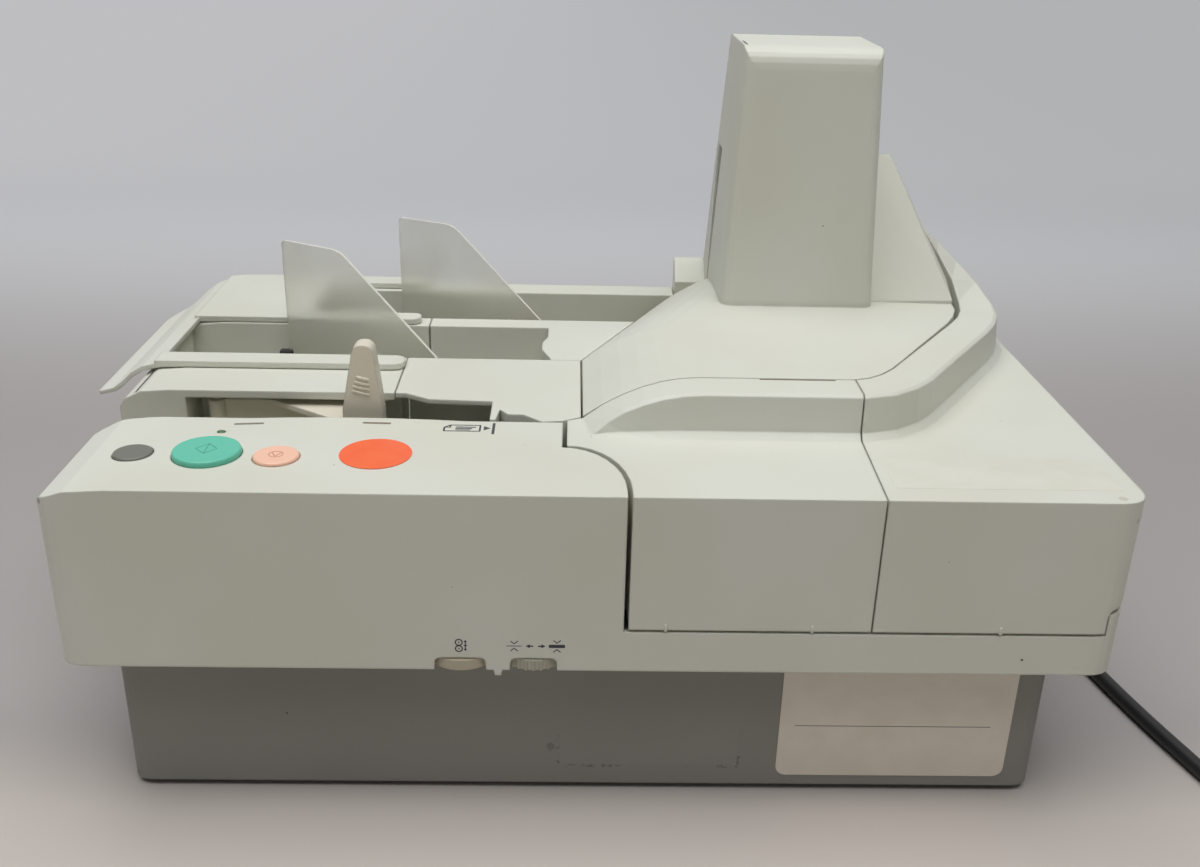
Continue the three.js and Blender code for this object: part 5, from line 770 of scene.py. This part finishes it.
def arrowhead(tip, direction, length, spread=1.0):
    """A filled triangle of ink that points from its foot to its tip, its foot widened by spread."""
    bpy.ops.mesh.primitive_circle_add(vertices=3, radius=length * 0.62, fill_type="NGON")
    head = open_piece()
    bpy.ops.mesh.select_all(action="SELECT")
    bpy.ops.mesh.bevel(offset=length * 0.06, segments=1, affect="VERTICES")
    close_ink()
    head.scale.x = spread
    head.rotation_euler.z = math.radians(direction - 90)
    turned = Matrix.Rotation(math.radians(direction), 2) @ Vector((length * 0.56, 0.0))
    head.location = (tip[0] - turned.x, tip[1] - turned.y, 0.0)
    return head


def ring(middle, radius, width):
    """A circle of ink."""
    bpy.ops.mesh.primitive_circle_add(vertices=32, radius=radius, fill_type="NGON")
    loop = open_piece()
    bpy.ops.mesh.select_all(action="SELECT")
    bpy.ops.mesh.inset(thickness=width)
    bpy.ops.mesh.delete(type="FACE")
    close_ink()
    loop.location = (*middle, 0.0)
    return loop


def joined(strokes):
    """One piece of all the strokes of a mark, in the mark's own flat map."""
    bpy.ops.object.select_all(action="DESELECT")
    for part in strokes:
        part.select_set(True)
    bpy.context.view_layer.objects.active = strokes[0]
    bpy.ops.object.transform_apply(location=True, rotation=True, scale=True)
    if len(strokes) > 1:
        bpy.ops.object.join()
    bpy.ops.object.mode_set(mode="EDIT")
    return bpy.context.active_object


def ink_and_shade_finish(name, colour, worn):
    """Printing ink, a little worn where hands and paper pass over it; it also carries the painted shade in
    slots and grooves.
    """
    shader = Shader(name)
    rubbed = shader.noise(0.0016, detail=5.0).ramp(0.42, 0.75)
    shader.set(
        base_color=shader.blend(rubbed * 0.5, linear(*colour), linear(*worn)),
        roughness=rubbed * 0.15 + 0.45,
        normal=shader.bump(rubbed, 0.00001),
    )
    return shader.material


slate_ink = ink_and_shade_finish("slate_ink", (62, 64, 68), (104, 104, 104))
navy_ink = ink_and_shade_finish("navy_ink", (44, 48, 60), (80, 82, 88))
# Painted shade of the engraved grooves on the start and stop keys.
teal_groove_shade = ink_and_shade_finish("teal_groove_shade", (66, 150, 130), (84, 172, 148))
pink_groove_shade = ink_and_shade_finish("pink_groove_shade", (190, 128, 106), (214, 152, 130))
# Painted shade in the slots: darker in the arch slot, lighter on the floor of the deck slots.
slot_shadow = ink_and_shade_finish("slot_shadow", (116, 106, 90), (92, 84, 70))
slot_floor_shade = ink_and_shade_finish("slot_floor_shade", (132, 126, 110), (112, 106, 92))
print("inks:", slate_ink.name, navy_ink.name)

# %% [markdown]
# On the deck, a small picture shows a sheet with a folded corner, pushed up to a stop. It tells the
# operator how cheques go in. The strokes lie on the deck, so it shrinks with distance as it should.

# %% The loading mark
DECK = 161.4
LOADING_AT = (-57.2, 69.7)
SHEET_LEFT, SHEET_RIGHT = -11.7, 4.7
SHEET_LOW, SHEET_HIGH = -3.4, 3.5
SHEET_FOLD = 2.6
LINE = 0.85

sheet_edge = [
    (SHEET_LEFT, SHEET_HIGH - SHEET_FOLD),
    (SHEET_LEFT, SHEET_LOW),
    (SHEET_RIGHT, SHEET_LOW),
    (SHEET_RIGHT, SHEET_HIGH),
    (SHEET_LEFT + SHEET_FOLD, SHEET_HIGH),
    (SHEET_LEFT, SHEET_HIGH - SHEET_FOLD),
    (SHEET_LEFT + SHEET_FOLD, SHEET_HIGH - SHEET_FOLD),
    (SHEET_LEFT + SHEET_FOLD, SHEET_HIGH),
]
loading = path(sheet_edge, LINE)
loading += path([(-6.4, 1.2), (2.6, 1.2)], 1.1)
loading += path([(-6.4, -0.5), (1.0, -0.5)], 1.1)
loading += path([(-6.4, -2.0), (0.2, -2.0)], 0.7)
loading += [arrowhead((9.4, 0.2), 0, 3.4, spread=1.35)]
loading += path([(10.9, -6.2), (10.9, 6.0)], 1.3)
loading_mark = settle(joined(loading), "loading_mark", place(*LOADING_AT, DECK - INK_SUNK))
fit_out(loading_mark, "housing", slate_ink)
print("loading mark:", len(loading_mark.data.polygons), "faces")

# %% [markdown]
# Two pictures stand over the dials in the front: a pair of rollers with the gap between them, and a
# nip on a thin and on a thick sheet with arrows that say which way each lies.

# %% Marks over the dials
DIAL_MARK_HEIGHT = 89.0
ROLLER_MARK_X = -57.8
SHEET_MARK_X = -24.6
FINE_LINE = 0.45

rollers = [ring((0.0, 1.6), 1.75, 0.55), ring((0.0, -1.6), 1.75, 0.55)]
rollers += [stroke((-0.2, 1.6), (0.2, 1.6), 0.7), stroke((-0.2, -1.6), (0.2, -1.6), 0.7)]
rollers += [*path([(2.8, -1.6), (2.8, 1.6)], FINE_LINE), *path([(2.1, 0.0), (3.5, 0.0)], FINE_LINE)]
rollers += [arrowhead((2.8, 2.8), 90, 1.3), arrowhead((2.8, -2.8), -90, 1.3)]
roller_at = place(ROLLER_MARK_X, INK_SUNK, DIAL_MARK_HEIGHT)
roller_mark = settle(joined(rollers), "roller_gap_mark", roller_at, FACING_FRONT)
fit_out(roller_mark, "housing", navy_ink)


def nip(middle, opening):
    """Two chevrons that point at a sheet from above and below."""
    strokes = []
    for side in (1, -1):
        foot = side * (opening + 1.4)
        corners = [(middle - 1.55, foot), (middle, side * opening), (middle + 1.55, foot)]
        strokes += path(corners, FINE_LINE)
    return strokes


sheets = [*path([(-12.6, 0.0), (-6.0, 0.0)], 0.35), *nip(-9.3, 1.1)]
sheets += [*path([(6.0, 0.0), (12.5, 0.0)], 1.6), *nip(9.3, 1.6)]
sheets += [arrowhead((-4.2, 0.0), 180, 1.9), *path([(-2.7, 0.0), (-1.2, 0.0)], 0.7)]
sheets += [arrowhead((4.2, 0.0), 0, 1.9), *path([(1.2, 0.0), (2.7, 0.0)], 0.7)]
sheet_at = place(SHEET_MARK_X, INK_SUNK, DIAL_MARK_HEIGHT)
sheet_mark = settle(joined(sheets), "sheet_thickness_mark", sheet_at, FACING_FRONT)
fit_out(sheet_mark, "housing", navy_ink)
print("marks over the dials:", roller_mark.name, sheet_mark.name)

# %% [markdown]
# The start and stop keys carry a shallow engraved sign each. A groove of a twentieth of a millimetre
# shows as a darker line where shade falls in it, so that shade is painted as a thin line, which moves with
# its key.

# %% Signs on the keys
def key_place(node):
    """The middle of the top of a key, from the model."""
    low, high = (Vector(corner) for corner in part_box(node))
    return Vector(((low.x + high.x) / 2, (low.y + high.y) / 2, high.z - INK_SUNK / 1000))


GROOVE = 0.4
diamond = path([(-4.6, 0.0), (0.0, 5.2), (4.6, 0.0), (0.0, -5.2), (-4.6, 0.0)], GROOVE)
diamond += path([(0.0, -5.0), (0.0, 5.0)], GROOVE)
start_sign = settle(joined(diamond), "start_sign", key_place("start_key"))
fit_out(start_sign, "start_key_body", teal_groove_shade)
chevron = path([(-1.9, 1.7), (0.0, -2.4), (1.9, 1.7)], GROOVE)
stop_sign = settle(joined([ring((0.0, 0.0), 3.2, GROOVE), *chevron]), "stop_sign", key_place("stop_key"))
fit_out(stop_sign, "stop_key_body", pink_groove_shade)
print("signs:", start_sign.name, stop_sign.name)

# %% [markdown]
# Beside the start key a small oval lens shows a green lamp behind it. The model has a plain block in
# its hole. Here a low cream seat fills that hole, and a lens with a round top stands on it: a cylinder
# pressed to an oval, whose upper rim is bevelled to a dome.

# %% The status lamp
LENS_SIZE = (4.2, 3.5)
LENS_HEIGHT = 0.55
SEAT_MARGIN = 2.2
SEAT_PROUD = 0.12

lamp_low, lamp_high = (Vector(corner) * 1000 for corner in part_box("status_lamp"))
lamp_middle = (lamp_low + lamp_high) / 2000
lamp_size = lamp_high - lamp_low
bpy.ops.mesh.primitive_cube_add(size=1.0)
seat = open_pressed((lamp_size.x + SEAT_MARGIN, lamp_size.y + SEAT_MARGIN, 2 * SEAT_PROUD))
bpy.ops.mesh.bevel(offset=SEAT_PROUD * 0.8, segments=2, affect="EDGES")
settle(seat, "lamp_seat", (lamp_middle.x, lamp_middle.y, DECK / 1000))
fit_out(seat, "housing", seat_cream)

bpy.ops.mesh.primitive_cylinder_add(vertices=32, radius=0.5, depth=1.0)
lens = open_pressed((*LENS_SIZE, LENS_HEIGHT))
pick(lens, lambda middle, normal: normal.z > 0.9)
bpy.ops.mesh.bevel(offset=LENS_HEIGHT * 0.7, segments=5, affect="EDGES")
settle(lens, "status_lens", (lamp_middle.x, lamp_middle.y, (DECK + LENS_HEIGHT * 0.4) / 1000))
fit_out(lens, "housing", lamp_green)
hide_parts("status_lamp")
print("the lens is", LENS_SIZE, "mm and stands", round(LENS_HEIGHT * 0.9, 2), "mm over the deck")

# %% [markdown]
# Three narrow slots are moulded into the covers, two behind the keys and one on the arch. The solids
# stay whole there, so each is a thin inlay of shadow colour.

# %% Slots
def slot_inlay(name, start, end, width, body, finish, turn=(0.0, 0.0, 0.0)):
    """A long narrow inlay from start to end, given as places on the scanner in millimetres."""
    run = Vector(end) - Vector(start)
    middle = (Vector(start) + Vector(end)) / 2
    inlay = joined([stroke((-run.length / 2, 0.0), (run.length / 2, 0.0), width)])
    settle(inlay, name, place(*middle), turn)
    fit_out(inlay, body, finish)


DECK_SLOT_WIDTH = 2.0
ARCH_SLOT_WIDTH = 1.3
DECK_SLOTS = {
    "deck_slot_left": ((-165.0, 70.6), (-152.4, 72.0)),
    "deck_slot_right": ((-106.7, 74.3), (-94.4, 74.0)),
}
for name, (start, end) in DECK_SLOTS.items():
    lean = math.atan2(end[1] - start[1], end[0] - start[0])
    top = DECK - INK_SUNK
    slot_inlay(name, (*start, top), (*end, top), DECK_SLOT_WIDTH, "housing", slot_floor_shade, (0.0, 0.0, lean))
ARCH_TOP = 182.0 - INK_SUNK
arch_ends = ((77.7, 84.7, ARCH_TOP), (113.0, 84.7, ARCH_TOP))
slot_inlay("arch_slot", *arch_ends, ARCH_SLOT_WIDTH, "opening_cover", slot_shadow)
print("slots are laid in")

# %% [markdown]
# Raised details are rounded bars on the real mouldings: four ribs that give the finger a hold on the
# pusher's tab, and a small pip at the foot of each door where a fingernail opens it. Each bar is made
# from a cube whose edges are bevelled, and set in place.

# %% Ribs on the pusher
RIB_HEIGHT = 1.5
RIB_PROUD = 0.9
TAB_FRONT = 89.0
RIB_ENDS = [
    ((-111.9, 178.5), (-105.7, 177.1)),
    ((-112.8, 176.1), (-105.7, 174.4)),
    ((-113.6, 173.9), (-105.7, 172.1)),
    ((-114.2, 171.6), (-105.6, 169.5)),
]


def rounded_bar(length, width, proud):
    """A bar that stands proud of a face by its height, with all outer edges round."""
    bpy.ops.mesh.primitive_cube_add(size=1.0)
    bar = open_pressed((length, width, 2 * proud))
    bpy.ops.mesh.bevel(offset=min(width, 2 * proud) * 0.46, segments=3, affect="EDGES")
    return bar


for i, (left, right) in enumerate(RIB_ENDS, start=1):
    run = Vector(right) - Vector(left)
    rib = rounded_bar(run.length, RIB_HEIGHT, RIB_PROUD)
    middle = (Vector(left) + Vector(right)) / 2
    lean = Matrix.Rotation(-math.atan2(run.y, run.x), 3, "Y") @ Matrix.Rotation(math.pi / 2, 3, "X")
    settle(rib, f"tab_rib_{i}", place(middle.x, TAB_FRONT, middle.y), lean.to_euler())
    fit_out(rib, "pusher_body", tab_cream)
print("ribs:", i)

# %% Pips at the foot of the doors
PIP_WIDTH = 1.5
PIP_HEIGHT = 4.0
PIP_PROUD = 0.55
PIP_MIDDLE = 98.9
PIPS = {"door_pip_1": 31.5, "door_pip_2": 95.0, "side_pip": 177.3}

for name, x in PIPS.items():
    pip = rounded_bar(PIP_WIDTH, PIP_HEIGHT, PIP_PROUD)
    settle(pip, name, place(x, 0.0, PIP_MIDDLE), FACING_FRONT)
    fit_out(pip, "opening_cover", side_cream)
print("pips:", len(PIPS))

# %% [markdown]
# The base carries a plain white label with round corners and one fine rule. The model's label is a
# rectangle, so a sheet with round corners stands for it: a plane whose corners are bevelled, given
# the thickness of film by an extrusion, its middle a hair higher than its rim. A clear strip lies on
# the right cover's top.

# %% Labels
LABEL_CORNER = 5.0
MIDDLE_RAISED = 0.1


def film_sheet(width, height, corner, thickness):
    """A sheet of film with round corners, lying flat round the origin."""
    bpy.ops.mesh.primitive_plane_add(size=1.0)
    sheet = open_pressed((width, height, 1.0))
    bpy.ops.mesh.bevel(offset=corner, segments=6, affect="VERTICES")
    bpy.ops.mesh.select_all(action="SELECT")
    bpy.ops.mesh.extrude_region_move(TRANSFORM_OT_translate={"value": (0.0, 0.0, thickness)})
    pick(sheet, lambda middle, normal: middle.z > thickness * 0.9)
    bpy.ops.mesh.inset(thickness=thickness, depth=thickness * MIDDLE_RAISED)
    bpy.ops.mesh.select_all(action="SELECT")
    bpy.ops.mesh.normals_make_consistent(inside=False)
    return sheet


label_low, label_high = (Vector(corner) * 1000 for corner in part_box("blank_label"))
label_size = label_high - label_low
label_middle = (label_low + label_high) / 2000
label_at = (label_middle.x, label_high.y / 1000, label_middle.z)
base_label = film_sheet(label_size.x, label_size.z, LABEL_CORNER, label_size.y)
settle(base_label, "base_label", label_at, FACING_FRONT)
fit_out(base_label, "housing", label_film)
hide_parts("blank_label")

RULE_LEFT, RULE_RIGHT, RULE_HEIGHT = 95.2, 186.5, 37.2
RULE_WIDTH = 0.35
label_face = place(0.0, 0.0).y * 1000 - label_low.y
rule = joined([stroke((RULE_LEFT, RULE_HEIGHT), (RULE_RIGHT, RULE_HEIGHT), RULE_WIDTH)])
settle(rule, "label_rule", place(0.0, -label_face + INK_SUNK), FACING_FRONT)
fit_out(rule, "housing", slate_ink)

STRIP_MIDDLE = (176.0, 28.5)
STRIP_SIZE = (98.0, 32.5)
STRIP_THICKNESS = 0.1
STRIP_CORNER = 1.5
side_strip = film_sheet(*STRIP_SIZE, STRIP_CORNER, STRIP_THICKNESS)
settle(side_strip, "side_strip", place(*STRIP_MIDDLE, DECK))
fit_out(side_strip, "opening_cover", clear_film)
print("labels:", base_label.name, side_strip.name)

# %% [markdown]
# A black rubber stop sits over the left end of the front pocket's guide, two millimetres deep, where
# it shows just over the rail. It is a short block with its edges bevelled and its top pressed in.

# %% The guide's rubber stop
STOP_AT = (-171.6, 207.4, 139.0)
STOP_SIZE = (7.4, 5.0, 10.0)
STOP_EDGE = 0.9
STOP_HOLLOW = 0.5

bpy.ops.mesh.primitive_cube_add(size=1.0)
stop = open_pressed(STOP_SIZE)
bpy.ops.transform.translate(value=(0.0, 0.0, STOP_SIZE[2] / 2))
bpy.ops.mesh.bevel(offset=STOP_EDGE, segments=2, affect="EDGES")
pick(stop, lambda middle, normal: middle.z > STOP_SIZE[2] - 0.01 and normal.z > 0.99)
bpy.ops.mesh.inset(thickness=STOP_EDGE)
bpy.ops.transform.translate(value=(0.0, 0.0, -STOP_HOLLOW))
settle(stop, "pocket_stop", place(*STOP_AT))
fit_out(stop, "pocket_guide_1_body", rubber)
print("pocket stop:", len(stop.data.polygons), "faces")

# %% [markdown]
# Eight screws hold the base tray, four in its back and four under it. A pan head is a flat cylinder
# whose upper rim is bevelled round. Its top is inset and split into wedges, and those in the arms of
# a cross are pressed in. One head is made, and every screw is a copy with its own mesh.

# %% Screws
HEAD_RADIUS = 3.0
HEAD_HEIGHT = 1.9
DRIVE_DEPTH = 1.0
HEAD_STEPS = 24
# Half of a cross arm in degrees, then screws of the back by x and z and of the underside by x and y
HALF_ARM = 15
BACK_SCREWS = [(-205.0, 22.0), (205.0, 22.0), (-205.0, 66.0), (205.0, 66.0)]
BASE_SCREWS = [(-150.0, 60.0), (150.0, 60.0), (-150.0, 245.0), (150.0, 245.0)]
TRAY_UNDERSIDE = 3.3
FACING_BACK = (-math.pi / 2, 0.0, 0.0)
FACING_DOWN = (math.pi, 0.0, 0.0)


def screw_head():
    """A pan head with a cross recess, its flat side on the origin and its top along +Z."""
    bpy.ops.mesh.primitive_cylinder_add(vertices=HEAD_STEPS, radius=HEAD_RADIUS, depth=HEAD_HEIGHT)
    head = open_piece()
    bpy.ops.mesh.select_all(action="SELECT")
    bpy.ops.transform.translate(value=(0.0, 0.0, HEAD_HEIGHT / 2))
    pick(head, lambda middle, normal: normal.z > 0.9)
    bpy.ops.mesh.bevel(offset=HEAD_HEIGHT * 0.45, segments=4, affect="EDGES")
    pick(head, lambda middle, normal: normal.z > 0.999)
    bpy.ops.mesh.inset(thickness=HEAD_RADIUS * 0.08)
    bpy.ops.mesh.poke()
    form = bmesh.from_edit_mesh(head.data)
    for face in form.faces:
        middle = face.calc_center_median()
        turn = math.degrees(math.atan2(middle.y, middle.x)) % 90
        face.select_set(middle.z > HEAD_HEIGHT * 0.98 and (turn < HALF_ARM or turn > 90 - HALF_ARM))
    bmesh.update_edit_mesh(head.data)
    bpy.ops.mesh.extrude_region_move(TRANSFORM_OT_translate={"value": (0.0, 0.0, -DRIVE_DEPTH)})
    bpy.ops.object.mode_set(mode="OBJECT")
    return head


def screw(name, at, turn):
    """A screw of the tray: a copy of the first head, with its own mesh."""
    head = first_head.copy()
    head.data = first_head.data.copy()
    bpy.context.scene.collection.objects.link(head)
    settle(head, name, at, turn)
    fit_out(head, "housing", steel)


first_head = screw_head()
tray_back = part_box("base_tray")[1][1]
for i, (x, z) in enumerate(BACK_SCREWS, start=1):
    at = place(x, 0.0, z)
    at.y = tray_back
    screw(f"back_screw_{i}", at, FACING_BACK)
for i, (x, y) in enumerate(BASE_SCREWS, start=1):
    screw(f"base_screw_{i}", place(x, y, TRAY_UNDERSIDE), FACING_DOWN)
bpy.data.objects.remove(first_head)
print("screws:", len(BACK_SCREWS + BASE_SCREWS), "on a tray whose back is at", round(tray_back, 4))

# %% [markdown]
# A pale table and a pale wall behind it stand in for a studio; they aren't part of the scanner.
# The wall is curved into the table, as a paper sweep is, and hides no edge.

# %% Stage
# Painted light on the table in front of the scanner, and painted shade under and behind it.
PAPER_FRONT_LIT = (204, 196, 189)
PAPER_NEAR_SHADE = (174, 169, 167)
PAPER_FAR = (236, 237, 240)
# The wall is painted a little darker to the right, as the room's light falls off.
WALL_LEFT = (190, 190, 193)
WALL_RIGHT = (176, 178, 180)
NEAR_SPAN = (-0.16, -0.08)
FAR_SPAN = (0.25, 1.0)
WALL_SPAN = (-1.0, 1.2)
GLOW_BEHIND = (0.5, 1.4)
GLOW_ROUND = (1.1, 2.6)


def seen_ray(shader):
    """1 for what the camera sees, also in a gloss or through glass, and 0 for light on the object."""
    seen = shader.node("ShaderNodeLightPath", output="Is Camera Ray")
    for ray in ("Is Glossy Ray", "Is Transmission Ray"):
        seen = seen.math("MAXIMUM", shader.node("ShaderNodeLightPath", output=ray))
    return seen


def stage_finish():
    """Pale paper, with painted light in front of the scanner and painted shade under it, and evenly bright
    far away from it.
    """
    shader = Shader("pale_paper")
    cloud = shader.noise(0.4, detail=2.0)
    x, y = shader.apart()[:2]
    # painted light in front, fading to painted shade under the scanner
    table = shader.blend(y.ramp(*NEAR_SPAN), linear(*PAPER_FRONT_LIT), linear(*PAPER_NEAR_SHADE))
    shader.set(
        base_color=shader.blend(y.ramp(*FAR_SPAN), table, linear(*PAPER_FAR)),
        roughness=cloud * 0.1 + 0.5,
    )
    # painted falloff of light across the wall
    wall = shader.blend(x.ramp(*WALL_SPAN), linear(*WALL_LEFT), linear(*WALL_RIGHT))
    glow = shader.node("ShaderNodeEmission", {}, {"Color": wall})
    away = shader.node("ShaderNodeVectorMath", {"operation": "LENGTH"}, {0: shader.where()}, output="Value")
    far = y.ramp(*GLOW_BEHIND).math("MAXIMUM", away.ramp(*GLOW_ROUND))
    shader.mix_in(far * seen_ray(shader), glow)
    return shader.material


TABLE_SIZE = 16.0
WALL_HEIGHT = 3.0
SWEEP_CURVE = 0.9

bpy.ops.object.select_all(action="DESELECT")
bpy.ops.mesh.primitive_plane_add(size=TABLE_SIZE)
sweep = open_piece()
bpy.ops.mesh.select_mode(type="EDGE")
form = bmesh.from_edit_mesh(sweep.data)
for edge in form.edges:
    edge.select_set(all(vertex.co.y > 0 for vertex in edge.verts))
bmesh.update_edit_mesh(sweep.data)
bpy.ops.mesh.extrude_region_move(TRANSFORM_OT_translate={"value": (0.0, 0.0, WALL_HEIGHT)})
bpy.ops.object.mode_set(mode="OBJECT")
sweep.name = "paper_sweep"
fold = sweep.modifiers.new("fold", "BEVEL")
fold.width = SWEEP_CURVE
fold.segments = 16
bpy.ops.object.modifier_apply(modifier="fold")
bpy.ops.object.shade_smooth()
sweep.data.materials.append(stage_finish())
print("the sweep has", len(sweep.data.polygons), "faces")

# %% [markdown]
# Office ceiling panels light the real scanner from above, so its tops are bright and its fronts a
# step darker. One large soft lamp overhead does that, a weaker one in front fills the shade, and the
# world adds a little light from all round.

# %% Light
def soft_lamp(name, size, energy, where, aim):
    """A rectangular lamp at a place in metres, turned to what it aims at."""
    light = bpy.data.lights.new(name, "AREA")
    light.shape = "RECTANGLE"
    light.size, light.size_y = size
    light.energy = energy
    lamp = added(name, light)
    lamp.location = where
    lamp.rotation_euler = (Vector(aim) - Vector(where)).to_track_quat("-Z", "Y").to_euler()


class Room(Shader):
    """The node tree of the world's light."""

    def __init__(self, name):
        self.world = bpy.data.worlds.new(name)
        self.world.use_nodes = True
        self.tree = self.world.node_tree
        self.surface = self.tree.nodes["Background"]


CEILING_WATTS = 43.0
FILL_WATTS = 0.5
ROOM_LIGHT = 0.08
ROOM_SEEN = 0.52
ROOM_COLOUR = (0.96, 0.97, 1.0, 1.0)

soft_lamp("ceiling_panel", (2.4, 1.8), CEILING_WATTS, (-0.1, -0.25, 2.0), (0.0, 0.0, 0.1))
soft_lamp("front_fill", (1.6, 1.0), FILL_WATTS, (0.5, -1.9, 1.5), (0.0, 0.0, 0.25))
room = Room("soft_room")
room.set(color=ROOM_COLOUR, strength=seen_ray(room) * (ROOM_SEEN - ROOM_LIGHT) + ROOM_LIGHT)
bpy.context.scene.world = room.world
bpy.context.scene.view_settings.view_transform = "Standard"
